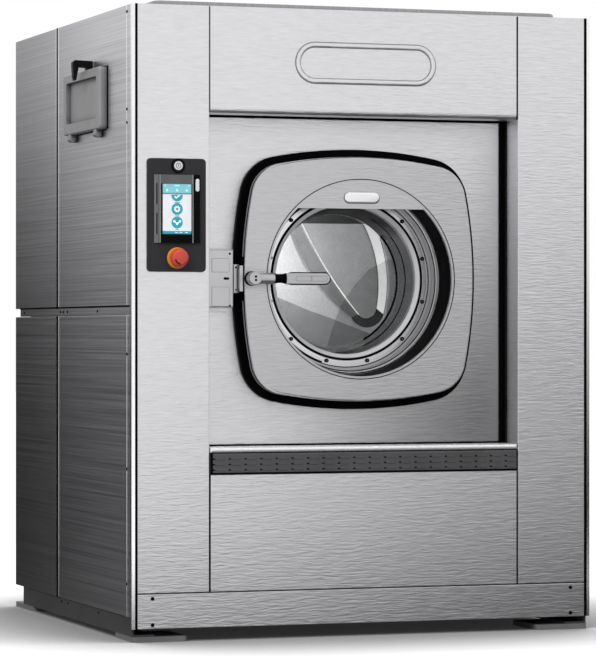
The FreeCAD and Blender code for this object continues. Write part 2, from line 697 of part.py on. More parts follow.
def recess_seal():
    """Rubber strip round the recess sheet and the boot between mouth and tub."""
    w = PILLAR_IN + SHEET
    strip = box(-w, w, RECESS_Y - 6, RECESS_Y + FOLD, SILL_Z1, HEADER_Z0 + SHEET)
    strip = strip.cut(box(-RECESS_HALF_W, RECESS_HALF_W, RECESS_Y - 7, RECESS_Y + FOLD + 1, RECESS_Z0, RECESS_Z1))
    y0 = RECESS_Y + SHEET
    boot = turned([(MOUTH_R, y0), (MOUTH_R + 26, y0), (MOUTH_R + 26, y0 + 6), (MOUTH_R + 14, y0 + 9),
                   (MOUTH_R + 14, BOOT_Y1), (MOUTH_R, BOOT_Y1)], 0, DOOR_Z)
    return Part.makeCompound([strip, boot])


LOCK_HALF_H = 87
NOSE_HALF_H = 43
NOSE_X1 = -DOOR_HALF_W - 15


def lock_housing():
    """Lock case beside the door, with the nose that takes the bolt."""
    case = box(LOCK_X0, LOCK_X1, LOCK_FRONT, RECESS_Y, DOOR_Z - LOCK_HALF_H, DOOR_Z + LOCK_HALF_H)
    case = round_where(case, 4, lambda p: p.y < LOCK_FRONT + 0.1)
    nose = box(LOCK_X1, NOSE_X1, LOCK_FRONT + 4, DOOR_BACK - RUN, DOOR_Z - NOSE_HALF_H, DOOR_Z + NOSE_HALF_H)
    t = BOLT_T / 2 + BOLT_GAP
    h = BOLT_H / 2 + BOLT_GAP
    pocket = box(LOCK_X1 - 12, NOSE_X1 + 1, BOLT_Y - t, BOLT_Y + t, DOOR_Z - h, DOOR_Z + h)
    return fuse(case, nose).cut(pocket)


SPINDLE_R = 9
BOLT_TIP = -DOOR_HALF_W + 3
BOLT_L = 56


def door_shell():
    """Black door body with the window bore, latch channel and hinge pockets."""
    y0 = DOOR_FACE + DOOR_FACE_T
    body = squircle(-2, y0, DOOR_BACK).cut(disc(TUNNEL_R, y0 - 1, DOOR_BACK + 1))
    t = BOLT_T / 2 + BOLT_GAP
    h = BOLT_H / 2 + BOLT_GAP
    cuts = [box(-DOOR_HALF_W - 12, BOLT_TIP + BOLT_L + 1, BOLT_Y - t, BOLT_Y + t, DOOR_Z - h, DOOR_Z + h),
            rod(HANDLE_X, y0 - 1, DOOR_Z, Y, SPINDLE_R + RUN, 24)]
    for z in hinge_spots():
        cuts.append(box(HINGE_X - 14, HINGE_X + 28, HINGE_Y - 14, DOOR_BACK + 1, z - HINGE_H - 3, z + HINGE_H + 3))
        cuts.append(box(HINGE_X - 44, HINGE_X + 28, HINGE_Y - 3, HINGE_Y + 3, z - KNUCKLE_L / 2, z + KNUCKLE_L / 2))
    return body.cut(Part.makeCompound(cuts))


def door_face():
    """Steel face plate with a soft outer edge and the window hole."""
    y1 = DOOR_FACE + DOOR_FACE_T
    plate = squircle(0, DOOR_FACE, y1)
    plate = round_where(plate, DOOR_EDGE_R, lambda p: p.y < DOOR_FACE + 0.1)
    plate = plate.cut(disc(WINDOW_SEAM_R, DOOR_FACE - 1, y1 + 1))
    return plate.cut(rod(HANDLE_X, DOOR_FACE - 1, DOOR_Z, Y, SPINDLE_R + PIN_FIT, 20))


def window_plate():
    """Ring in the window hole, its top closed by a segment with a blank badge plate."""
    y1 = DOOR_FACE + DOOR_FACE_T
    plate = disc(WINDOW_SEAM_R - 0.5, DOOR_FACE, y1)
    hole = disc(WINDOW_R, DOOR_FACE - 1, y1 + 1)
    hole = hole.common(box(-WINDOW_R, WINDOW_R, DOOR_FACE - 5, y1 + 5, DOOR_Z - WINDOW_R, CHORD_Z))
    badge = stadium(0, BADGE_Z, BADGE_W, BADGE_H, DOOR_FACE - 3, DOOR_FACE + 1)
    return fuse(plate.cut(hole), badge)


def tunnel_rings():
    """Stepped steel tunnel from the back of the door to the glass."""
    y = DOOR_BACK
    r = TUNNEL_R
    seat = GLASS_RING_Y + GLASS_RING_T
    steps = [(r - 7, y), (r + 4, y), (r + 4, y + 4), (r - 3, y + 4), (r - 3, y + 29), (r - 9, y + 29),
             (r - 9, y + 51), (r - 15, y + 51), (r - 15, seat + 6), (r - 35, seat + 6), (r - 35, seat),
             (GLASS_RING_OUT, seat), (GLASS_RING_OUT, y + 48), (r - 13, y + 48), (r - 13, y + 26), (r - 7, y + 26)]
    return turned(steps, 0, DOOR_Z)


def glass_ring():
    """Clamp ring with twelve bolt heads."""
    y = GLASS_RING_Y
    y1 = y + GLASS_RING_T
    out = GLASS_RING_OUT - RUN
    ring = turned([(GLASS_RING_IN + 4, y), (out, y), (out, y1), (GLASS_RING_IN, y1), (GLASS_RING_IN, y + 4)],
                  0, DOOR_Z)
    heads = []
    for i in range(BOLT_COUNT):
        a = math.radians(15 + 360 / BOLT_COUNT * i)
        heads.append(rod(BOLT_CIRCLE_R * math.cos(a), y - 4, DOOR_Z + BOLT_CIRCLE_R * math.sin(a), Y, BOLT_R, 5))
    return fuse(ring, *heads)


def deflector_loop(share, y, grow):
    """Outline of the tongue, from its foot (share 0) to its crown (share 1): bowed flanks and a round end."""
    r = GLASS_RING_IN
    flat = [(a[0] + share * (b[0] - a[0]), a[1] + share * (b[1] - a[1]))
            for a, b in zip(DEFLECTOR_FOOT, DEFLECTOR_CROWN)]
    cx = sum(x for x, z in flat) / len(flat)
    cz = sum(z for x, z in flat) / len(flat)
    p = [V(r * (cx + grow * (x - cx)), y, DOOR_Z + r * (cz + grow * (z - cz))) for x, z in flat]
    edges = [Part.Arc(p[0], p[1], p[2]).toShape(), Part.Arc(p[2], p[3], p[4]).toShape(),
             Part.Arc(p[4], p[5], p[6]).toShape(), Part.LineSegment(p[6], p[0]).toShape()]
    return Part.Wire(edges)


def deflector(foot_y, grow, limit):
    """Tongue lofted from just before its foot plane to its crown, held inside a circle."""
    lap = 3
    loops = [deflector_loop(-lap / DEFLECTOR_H, foot_y - lap, grow),
             deflector_loop(1, foot_y + DEFLECTOR_H, grow)]
    tongue = Part.makeLoft(loops, True, True)
    return tongue.common(disc(limit, foot_y - lap, foot_y + DEFLECTOR_H))


def glass_bowl():
    """Door glass: a flat-ended bowl with a lofted tongue on its end that pushes the laundry back."""
    y = GLASS_RING_Y + GLASS_RING_T
    t = GLASS_T
    r = GLASS_RING_IN
    deep = y + GLASS_DEEP
    outer = turned([(0, y), (r + 21, y), (r + 21, y + t), (r - 3, y + t), (r - 17, deep - 10), (r - 23, deep),
                    (0, deep)], 0, DOOR_Z)
    inner = turned([(0, y - 1), (r - 10, y - 1), (r - 10, y + t), (r - 25, deep - t - 8), (r - 31, deep - t),
                    (0, deep - t)], 0, DOOR_Z)
    outer = fuse(outer, deflector(deep, 1.06, r - 26))
    inner = fuse(inner, deflector(deep - t, 1, r - 33))
    return outer.cut(inner)


def hinge_brackets():
    """Fixed hinge knuckles on the recess sheet, each pair with its pin."""
    parts = []
    r = KNUCKLE_R
    for z in hinge_spots():
        solids = [box(HINGE_X - 20, HINGE_X + 11, RECESS_Y - 3, RECESS_Y, z - HINGE_H, z + HINGE_H)]
        for z0 in (z - HINGE_H, z + KNUCKLE_L / 2):
            solids.append(rod(HINGE_X, HINGE_Y, z0, Z, r, KNUCKLE_L))
            solids.append(box(HINGE_X - r, HINGE_X + r, HINGE_Y, RECESS_Y, z0, z0 + KNUCKLE_L))
        solids.append(rod(HINGE_X, HINGE_Y, z - HINGE_H, Z, PIN_R, 2 * HINGE_H))
        parts.append(fuse(*solids))
    return Part.makeCompound(parts)


def door_hardware():
    """Hinge leaves of the door and the strike plate on its latch side."""
    parts = []
    for z in hinge_spots():
        h = KNUCKLE_L / 2
        knuckle = rod(HINGE_X, HINGE_Y, z - h + RUN, Z, KNUCKLE_R, 2 * h - 2 * RUN)
        leaf = box(HINGE_X - 44, HINGE_X, HINGE_Y - 3, HINGE_Y + 3, z - h + RUN, z + h - RUN)
        bore = rod(HINGE_X, HINGE_Y, z - h, Z, PIN_R + PIN_FIT, 2 * h)
        parts.append(fuse(knuckle, leaf).cut(bore))
    x0 = -DOOR_HALF_W + 2
    t = BOLT_T / 2 + BOLT_GAP
    h = BOLT_H / 2 + BOLT_GAP
    plate = box(x0 - 3, x0, DOOR_FACE + DOOR_FACE_T + 2, DOOR_BACK - 3, DOOR_Z - NOSE_HALF_H, DOOR_Z + NOSE_HALF_H)
    parts.append(plate.cut(box(x0 - 9, x0 + 9, BOLT_Y - t, BOLT_Y + t, DOOR_Z - h, DOOR_Z + h)))
    return Part.makeCompound(parts)


def handle_hub():
    """Boss on its spindle, with the barrel that carries the lever."""
    boss = rod(HANDLE_X, HANDLE_Y - 19, DOOR_Z, Y, 20, DOOR_FACE - 0.6 - HANDLE_Y + 19)
    boss = round_where(boss, 3, lambda p: p.y < HANDLE_Y - 18.9)
    barrel = rod(HANDLE_X, HANDLE_Y, DOOR_Z, X, HANDLE_R, BARREL_L)
    spindle = rod(HANDLE_X, HANDLE_Y, DOOR_Z, Y, SPINDLE_R, DOOR_FACE + 30 - HANDLE_Y)
    return fuse(boss, barrel, spindle)


def handle_sleeve():
    """Waisted rubber sleeve between barrel and lever."""
    x0 = HANDLE_X + BARREL_L
    x1 = x0 + SLEEVE_L
    pts = [V(x0, HANDLE_Y, DOOR_Z), V(x0, HANDLE_Y, DOOR_Z + 16), V(x0 + 12, HANDLE_Y, DOOR_Z + 13.5),
           V(x1 - 12, HANDLE_Y, DOOR_Z + 13.5), V(x1, HANDLE_Y, DOOR_Z + 16), V(x1, HANDLE_Y, DOOR_Z)]
    return Part.Face(Part.makePolygon(pts + pts[:1])).revolve(V(0, HANDLE_Y, DOOR_Z), X, 360)


def handle_lever():
    """Flat lever with a round end and a shallow oval thumb recess."""
    x0 = HANDLE_X + BARREL_L + SLEEVE_L
    end = x0 + LEVER_L
    y0 = HANDLE_Y - 8
    r = HANDLE_R
    bar = fuse(box(x0, end - r, y0, y0 + 15, DOOR_Z - r, DOOR_Z + r),
               rod(end - r, y0, DOOR_Z, Y, r, 15))
    bar = round_where(bar, 3, lambda p: p.y < y0 + 0.1)
    return bar.cut(stadium(x0 + 72, DOOR_Z, 84, 14, y0 - 1, y0 + 1.2))


def latch_bolt():
    h = BOLT_H / 2
    bolt = box(BOLT_TIP, BOLT_TIP + BOLT_L, BOLT_Y - BOLT_T / 2, BOLT_Y + BOLT_T / 2, DOOR_Z - h, DOOR_Z + h)
    return round_where(bolt, 4, lambda p: p.x < BOLT_TIP + 0.1 and abs(p.z - DOOR_Z) > h - 0.1)


TUB_BACK_T = 12


def outer_tub():
    """Tub with its neck and back, standing on two arched saddle plates."""
    r = TUB_R
    t = TUB_T
    y0 = TUB_Y0
    y1 = TUB_Y1
    tub = turned([(NECK_R + t, BOOT_Y1), (NECK_R + t, y0), (r, y0), (r, y1), (BEARING_R, y1),
                  (BEARING_R, y1 - TUB_BACK_T), (r - t, y1 - TUB_BACK_T), (r - t, y0 + t), (NECK_R, y0 + t),
                  (NECK_R, BOOT_Y1)], 0, DOOR_Z)
    z0 = CLAD_Z0 + RING_H
    arch = DOOR_Z - r - 95
    saddles = []
    for y in CRADLE_YS:
        plate = plate_y([(140 - r, z0), (-210, z0), (-170, arch), (170, arch), (210, z0), (r - 140, z0),
                         (r - 170, arch + 350), (170 - r, arch + 350)], y, y + CRADLE_T)
        saddles.append(plate.cut(disc(r - t / 2, y - 1, y + CRADLE_T + 1)))
    tub = fuse(tub, *saddles)
    tub = tub.cut(rod(0, DRAIN_Y, DOOR_Z - r - 20, Z, DRAIN_R, 60))
    return tub.cut(rod(DUCT_X, DUCT_Y, DOOR_Z + TUB_R / 2, Z, 18, TUB_R / 2))


def bearing_housing():
    """Housing on the tub back with its two bearing rings."""
    y = TUB_Y1
    b = BEARING_R
    bore = SHAFT_R + PIN_FIT
    shell = turned([(b, y), (250, y), (250, y + 16), (150, y + 34), (b + 28, y + 150), (b + 28, y + 168),
                    (b, y + 168)], 0, DOOR_Z)
    rings = [pipe(0, y0, DOOR_Z, Y, BEARING_R, bore, 40) for y0 in (y + 8, y + 120)]
    return fuse(shell, *rings)


def inner_drum():
    """Wash drum with a turned-in mouth and three lifters."""
    r = DRUM_R
    t = DRUM_T
    y0 = DRUM_Y0
    y1 = DRUM_Y1
    m = DRUM_MOUTH_R
    shell = turned([(m, y0), (r, y0), (r, y1), (0, y1), (0, y1 - 8), (r - t, y1 - 8), (r - t, y0 + t),
                    (m + t, y0 + t), (m + t, y0 + 14), (m, y0 + 14)], 0, DOOR_Z)
    base = r - t / 2
    rib = plate_y([(-75, DOOR_Z - base + 6), (75, DOOR_Z - base + 6), (26, DOOR_Z - base + LIFTER_H),
                   (-26, DOOR_Z - base + LIFTER_H)], y0 + t / 2, y1 - 4)
    foot = plate_y([(-75, DOOR_Z - base - 4), (75, DOOR_Z - base - 4), (75, DOOR_Z - base + 6),
                    (-75, DOOR_Z - base + 6)], y0 + t / 2, y1 - 4)
    rib = fuse(rib, foot).common(disc(base, y0, y1))
    ribs = []
    for i in range(3):
        lifter = rib.copy()
        lifter.rotate(V(0, 0, DOOR_Z), Y, 60 + 120 * i)
        ribs.append(lifter)
    return fuse(shell, *ribs)


def drum_shaft():
    """Three-arm spider on the drum back and the main shaft."""
    y = DRUM_Y1
    arm_l = DRUM_R - 38
    solids = [rod(0, y, DOOR_Z, Y, 95, 24), rod(0, y, DOOR_Z, Y, SHAFT_R, PULLEY_Y0 + PULLEY_W + 6 - y)]
    for i in range(3):
        arm = plate_y([(-48, DOOR_Z), (48, DOOR_Z), (30, DOOR_Z + arm_l), (-30, DOOR_Z + arm_l)], y, y + 22)
        arm.rotate(V(0, 0, DOOR_Z), Y, 120 * i)
        solids.append(arm)
    return fuse(*solids)


GROOVE_W = 12
GROOVE_D = 13
BELT_IN = 9


def groove_starts():
    pitch = PULLEY_W / GROOVES
    return [PULLEY_Y0 + pitch * (i + 0.5) - GROOVE_W / 2 for i in range(GROOVES)]


def grooved_rim(r):
    """Profile points of a pulley rim from its front edge to its back edge."""
    pts = [(r, PULLEY_Y0)]
    for y in groove_starts():
        pts += [(r, y), (r - GROOVE_D, y), (r - GROOVE_D, y + GROOVE_W), (r, y + GROOVE_W)]
    return pts + [(r, PULLEY_Y0 + PULLEY_W)]


def drum_pulley():
    y0 = PULLEY_Y0
    y1 = y0 + PULLEY_W
    rim = PULLEY_R - 30
    pts = grooved_rim(PULLEY_R) + [(rim, y1), (rim, y0 + 36), (85, y0 + 36), (85, y1), (SHAFT_R, y1),
                                   (SHAFT_R, y0), (85, y0), (85, y0 + 18), (rim, y0 + 18), (rim, y0)]
    return turned(pts, 0, DOOR_Z)


def motor_pulley():
    """Motor shaft with its small pulley."""
    y0 = PULLEY_Y0
    shaft_y = MOTOR_Y0 + MOTOR_L - 38
    shaft = rod(MOTOR_X, shaft_y, MOTOR_Z, Y, MOTOR_SHAFT_R, y0 + PULLEY_W - shaft_y)
    rim = turned(grooved_rim(MOTOR_PULLEY_R) + [(0, y0 + PULLEY_W), (0, y0)], MOTOR_X, MOTOR_Z)
    return fuse(shaft, rim)


def belt_loop(r1, r2, y0, y1):
    """Band round the drum pulley and the motor pulley."""
    span = math.hypot(MOTOR_X, MOTOR_Z - DOOR_Z)
    line = math.atan2(MOTOR_Z - DOOR_Z, MOTOR_X)
    lean = math.acos((r1 - r2) / span)

    def on(cx, cz, r, a):
        return V(cx + r * math.cos(a), y0, cz + r * math.sin(a))

    a1 = line + lean
    a2 = line - lean
    p1 = on(0, DOOR_Z, r1, a1)
    p2 = on(0, DOOR_Z, r1, a2)
    q1 = on(MOTOR_X, MOTOR_Z, r2, a1)
    q2 = on(MOTOR_X, MOTOR_Z, r2, a2)
    edges = [Part.Arc(p1, on(0, DOOR_Z, r1, line + math.pi), p2).toShape(),
             Part.LineSegment(p2, q2).toShape(),
             Part.Arc(q2, on(MOTOR_X, MOTOR_Z, r2, line), q1).toShape(),
             Part.LineSegment(q1, p1).toShape()]
    return Part.Face(Part.Wire(edges)).extrude(V(0, y1 - y0, 0))


def drive_belts():
    belts = []
    for y in groove_starts():
        a = y + BELT_GAP
        b = y + GROOVE_W - BELT_GAP
        outer = belt_loop(PULLEY_R + 1, MOTOR_PULLEY_R + 1, a, b)
        belts.append(outer.cut(belt_loop(PULLEY_R - BELT_IN, MOTOR_PULLEY_R - BELT_IN, a, b)))
    return Part.makeCompound(belts)


def motor():
    """Drive motor with end bells, cooling ribs, terminal box and foot block."""
    x = MOTOR_X
    z = MOTOR_Z
    r = MOTOR_R
    y0 = MOTOR_Y0
    y1 = y0 + MOTOR_L
    pts = [(0, y0), (r - 40, y0), (r - 8, y0 + 14), (r - 8, y0 + 40)]
    for i in range(6):
        y = y0 + 50 + 42 * i
        pts += [(r - 8, y), (r, y), (r, y + 20), (r - 8, y + 20)]
    pts += [(r - 8, y1 - 20), (r - 36, y1), (0, y1)]
    body = turned(pts, x, z)
    foot = box(x - 115, x + 115, y0 + 50, y1 - 30, CLAD_Z0 + RING_H, z - 40)
    foot = foot.cut(rod(x, y0 + 49, z, Y, r - 10, MOTOR_L - 78))
    terminal = box(x + 60, x + 175, y0 + 110, y0 + 230, z + 40, z + 120)
    body = fuse(body, foot, terminal)
    return body.cut(rod(x, y1 - 40, z, Y, MOTOR_SHAFT_R + PIN_FIT, 60))


VALVE_Z0 = 250
VALVE_Z1 = 330
VALVE_R = 56
DISC_R = 39.5
DISC_PIN_R = 5
BEND_R = VALVE_Z0 - DRAIN_PIPE_Z
DRAIN_END = BACK + 45


def drain_line(r):
    """Solid of one radius along the drain: sump, bend and the run to the rear."""
    sump = rod(0, DRAIN_Y, VALVE_Z0, Z, r, DOOR_Z - VALVE_Z0)
    ring = Part.Face(Part.Wire(Part.makeCircle(r, V(0, DRAIN_Y, VALVE_Z0), Z)))
    bend = ring.revolve(V(0, DRAIN_Y + BEND_R, VALVE_Z0), X, 90)
    run = rod(0, DRAIN_Y + BEND_R, DRAIN_PIPE_Z, Y, r, DRAIN_END - DRAIN_Y - BEND_R)
    return fuse(sump, bend, run)


def drain_valve():
    """Drain from the tub floor through the butterfly valve to the rear outlet."""
    zc = (VALVE_Z0 + VALVE_Z1) / 2
    body = fuse(drain_line(DRAIN_R + DRAIN_T), rod(0, DRAIN_Y, VALVE_Z0, Z, VALVE_R, VALVE_Z1 - VALVE_Z0))
    drive = box(VALVE_R - 6, 132, DRAIN_Y - 32, DRAIN_Y + 32, zc - 30, zc + 30)
    body = fuse(body, drive).cut(drain_line(DRAIN_R)).cut(disc(TUB_R, TUB_Y0, TUB_Y1))
    y = BACK + SPIGOT_GAP
    body = body.cut(pipe(0, BACK - 10, DRAIN_PIPE_Z, Y, VALVE_R, DRAIN_R + 3, SPIGOT_GAP + 10))
    body = body.cut(pipe(0, y, DRAIN_PIPE_Z, Y, VALVE_R, SPIGOT_R, DRAIN_END - y))
    return body.cut(rod(-50, DRAIN_Y, zc, X, DISC_PIN_R + PIN_FIT, 124))


def drain_disc():
    zc = (VALVE_Z0 + VALVE_Z1) / 2
    plate = rod(0, DRAIN_Y, zc - 2.5, Z, DISC_R, 5)
    return fuse(plate, rod(-49, DRAIN_Y, zc, X, DISC_PIN_R, 122))


def inlet_valves():
    """Two water valves on the rear sheet, each with a straight pipe to the hopper."""
    parts = []
    y1 = BACK - SHEET
    for x in INLET_XS:
        body = soften(box(x - 22, x + 22, y1 - 60, y1, INLET_Z - 22, INLET_Z + 22), 6, Y)
        neck = rod(x, y1, INLET_Z, Y, INLET_R - 1.5, SHEET + SPIGOT_GAP)
        nozzle = rod(x, BACK + SPIGOT_GAP, INLET_Z, Y, INLET_R, 36 - SPIGOT_GAP)
        coil = rod(x, y1 - 36, INLET_Z + 20, Z, 17, 40)
        line = rod(x, HATCH_Y1 + HOPPER_T, INLET_Z, Y, INLET_R - 2, y1 - 50 - HATCH_Y1)
        parts.append(fuse(body, neck, nozzle, coil, line).cut(rod(x, y1 - 30, INLET_Z, Y, INLET_R - 4, 90)))
    return Part.makeCompound(parts)


GLAND_X = -415
GLAND_Z = 300
GLAND_R = 16
DRIVE_X0 = -560
DRIVE_X1 = -270
DRIVE_Y1 = REAR_IN - 48
DRIVE_Y0 = DRIVE_Y1 - 340
DRIVE_Z1 = DOOR_Z - TUB_R - 15


def inverter_box():
    """Motor drive in a ribbed case, with the cable gland through the rear sheet."""
    x = DRIVE_X0
    case = soften(box(x, DRIVE_X1, DRIVE_Y0, DRIVE_Y1, CLAD_Z0 + RING_H, DRIVE_Z1), 8, Z)
    ribs = []
    for i in range(7):
        y = DRIVE_Y0 + 30 + 44 * i
        ribs.append(box(x - 19, x + 1, y, y + 8, CLAD_Z0 + RING_H + 36, DRIVE_Z1 - 30))
    gland = rod(GLAND_X, DRIVE_Y1 - 1, GLAND_Z, Y, GLAND_R, BACK + 25 - DRIVE_Y1)
    return fuse(case, gland, *ribs).cut(rod(GLAND_X, BACK - 20, GLAND_Z, Y, 9, 60))


def rear_upper():
    panel = rear_panel(MID_Z0, TOP - 4)
    return panel.cut(Part.makeCompound([rod(x, REAR_IN, INLET_Z, Y, INLET_R + RUN, 20) for x in INLET_XS]))


VENT_Z0 = MID_Z0 - 275


def rear_lower():
    panel = rear_panel(CLAD_Z0, MID_Z0 - SEAM)
    panel = panel.cut(rod(0, REAR_IN, DRAIN_PIPE_Z, Y, DRAIN_R + DRAIN_T + RUN, 20))
    slots = [box(-420 + 60 * i, -380 + 60 * i, REAR_IN, BACK + 1, VENT_Z0 + 24 * j, VENT_Z0 + 8 + 24 * j)
             for i in range(14) for j in range(4)]
    panel = panel.cut(Part.makeCompound(slots))
    return panel.cut(rod(GLAND_X, REAR_IN, GLAND_Z, Y, GLAND_R + RUN, 20))


front_up, front_low, rear_up, rear_low = side_panels()

NODES = {
    "foot_plates": foot_plates(),
    "base_frame": base_frame(),
    "upper_frame": upper_frame(),
    "pillar_left": pillar(-1),
    "pillar_right": pillar(1),
    "header_panel": header_panel(),
    "front_sill": front_sill(),
    "vent_grille": vent_grille(),
    "lower_front_panel": lower_front_panel(),
    "plinth_panel": plinth_panel(),
    "left_front_upper": front_up.cut(hatch_hole()),
    "left_front_lower": front_low,
    "left_rear_panels": Part.makeCompound([rear_up, rear_low]),
    "right_side_panels": Part.makeCompound([mirror_x(s) for s in (front_up, front_low, rear_up, rear_low)]),
    "side_mid_rails": mid_rails(),
    "rear_panel_upper": rear_upper(),
    "rear_panel_lower": rear_lower(),
    "top_cover": top_cover(),
    "control_panel": control_panel(),
    "display_module": display_module(),
    "cover_hinge": cover_hinge(),
    "screen_cover": screen_cover(),
    "screen_grip": screen_grip(),
    "push_button": push_button(),
    "stop_collar": stop_collar(),
    "stop_plunger": stop_plunger(),
    "stop_head": stop_head(),
    "dispenser_hopper": dispenser_hopper(),
    "flap_hinge": flap_hinge(),
    "dispenser_flap": dispenser_flap(),
    "flap_hook": flap_hook(),
    "door_panel": door_panel(),
    "door_gasket": door_gasket(),
    "seam_seals": Part.makeCompound([corner_seals(), recess_seal()]),
    "lock_housing": lock_housing(),
    "hinge_brackets": hinge_brackets(),
    "door_shell": door_shell(),
    "door_face": door_face(),
    "window_plate": window_plate(),
    "tunnel_rings": tunnel_rings(),
    "glass_ring": glass_ring(),
    "glass_bowl": glass_bowl(),
    "door_hardware": door_hardware(),
    "handle_hub": handle_hub(),
    "handle_sleeve": handle_sleeve(),
    "handle_lever": handle_lever(),
    "latch_bolt": latch_bolt(),
    "outer_tub": outer_tub(),
    "bearing_housing": bearing_housing(),
    "inner_drum": inner_drum(),
    "drum_shaft": drum_shaft(),
    "drum_pulley": drum_pulley(),
    "drive_belts": drive_belts(),
    "motor": motor(),
    "motor_pulley": motor_pulley(),
    "drain_valve": drain_valve(),
    "drain_disc": drain_disc(),
    "inlet_valves": inlet_valves(),
    "inverter_box": inverter_box(),
}

for name, shape in NODES.items():
    if not shape.isValid() or not shape.Solids:
        print("check", name, shape.isValid(), len(shape.Solids))
    shape.exportStep("parts/%s.step" % name)
print(len(NODES), "nodes")
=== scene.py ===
import json
import math

import bmesh
import bpy
from mathutils import Matrix, Vector


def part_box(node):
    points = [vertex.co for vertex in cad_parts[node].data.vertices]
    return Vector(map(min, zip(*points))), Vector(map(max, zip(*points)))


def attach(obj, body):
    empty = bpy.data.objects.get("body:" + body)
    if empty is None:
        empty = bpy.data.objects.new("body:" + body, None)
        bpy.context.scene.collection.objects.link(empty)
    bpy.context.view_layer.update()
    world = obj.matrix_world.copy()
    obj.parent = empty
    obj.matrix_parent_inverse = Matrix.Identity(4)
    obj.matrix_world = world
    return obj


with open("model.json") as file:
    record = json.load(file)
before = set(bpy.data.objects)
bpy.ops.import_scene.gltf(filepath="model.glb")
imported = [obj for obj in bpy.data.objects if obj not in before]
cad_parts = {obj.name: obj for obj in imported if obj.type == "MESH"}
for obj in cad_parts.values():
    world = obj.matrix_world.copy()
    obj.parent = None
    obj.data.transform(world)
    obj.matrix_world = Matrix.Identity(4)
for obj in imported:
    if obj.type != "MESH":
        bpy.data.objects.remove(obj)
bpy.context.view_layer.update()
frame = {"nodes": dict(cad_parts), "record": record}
nodes = frame["nodes"]
scene = bpy.context.scene
scene.view_settings.view_transform = "Standard"


def lo(node):
    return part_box(node)[0]


def hi(node):
    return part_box(node)[1]


def middle(node, axis):
    return (lo(node)[axis] + hi(node)[axis]) / 2


X, Y, Z = 0, 1, 2
TURN = 2 * math.pi
FRONT = lo("pillar_left").y
LEFT = lo("left_front_lower").x
RIGHT = hi("right_side_panels").x
TOP = hi("pillar_left").z
DOOR_FACE = lo("door_face").y
DOOR_Z = middle("glass_ring", Z)


# Materials. Every one is made of nodes, in the piece's own coordinates.

def grey(tone):
    return tone, tone, tone


class Nodes:
    """Short ways to add shader nodes to a tree."""

    def __init__(self, tree):
        self.tree = tree

    def put(self, socket, v):
        """Give a socket a link or a constant."""
        if isinstance(v, bpy.types.NodeSocket):
            self.tree.links.new(v, socket)
        else:
            socket.default_value = v

    def node(self, kind, **inputs):
        n = self.tree.nodes.new("ShaderNode" + kind)
        for k, v in inputs.items():
            self.put(n.inputs[k.replace("_", " ")], v)
        return n

    def math(self, op, a, b=0.0):
        n = self.node("Math")
        n.operation = op
        self.put(n.inputs[0], a)
        self.put(n.inputs[1], b)
        return n.outputs[0]

    def add(self, a, b):
        return self.math("ADD", a, b)

    def sub(self, a, b):
        return self.math("SUBTRACT", a, b)

    def mul(self, a, b):
        return self.math("MULTIPLY", a, b)

    def level(self, fac, first, last):
        """A factor from 0 to 1 laid between two levels."""
        return self.node("MapRange", Value=fac, To_Min=first, To_Max=last).outputs[0]

    def ease(self, fac, start, end, first=0.0, last=1.0):
        """Soft step from one level to another between two values of a factor."""
        n = self.node("MapRange", Value=fac, From_Min=start, From_Max=end, To_Min=first, To_Max=last)
        n.interpolation_type = "SMOOTHSTEP"
        return n.outputs[0]

    def seen(self):
        """1 for the rays by which the camera, metal and glass see."""
        path = self.node("LightPath").outputs
        seen = self.math("MAXIMUM", path["Is Camera Ray"], path["Is Glossy Ray"])
        return self.math("MAXIMUM", seen, path["Is Transmission Ray"])


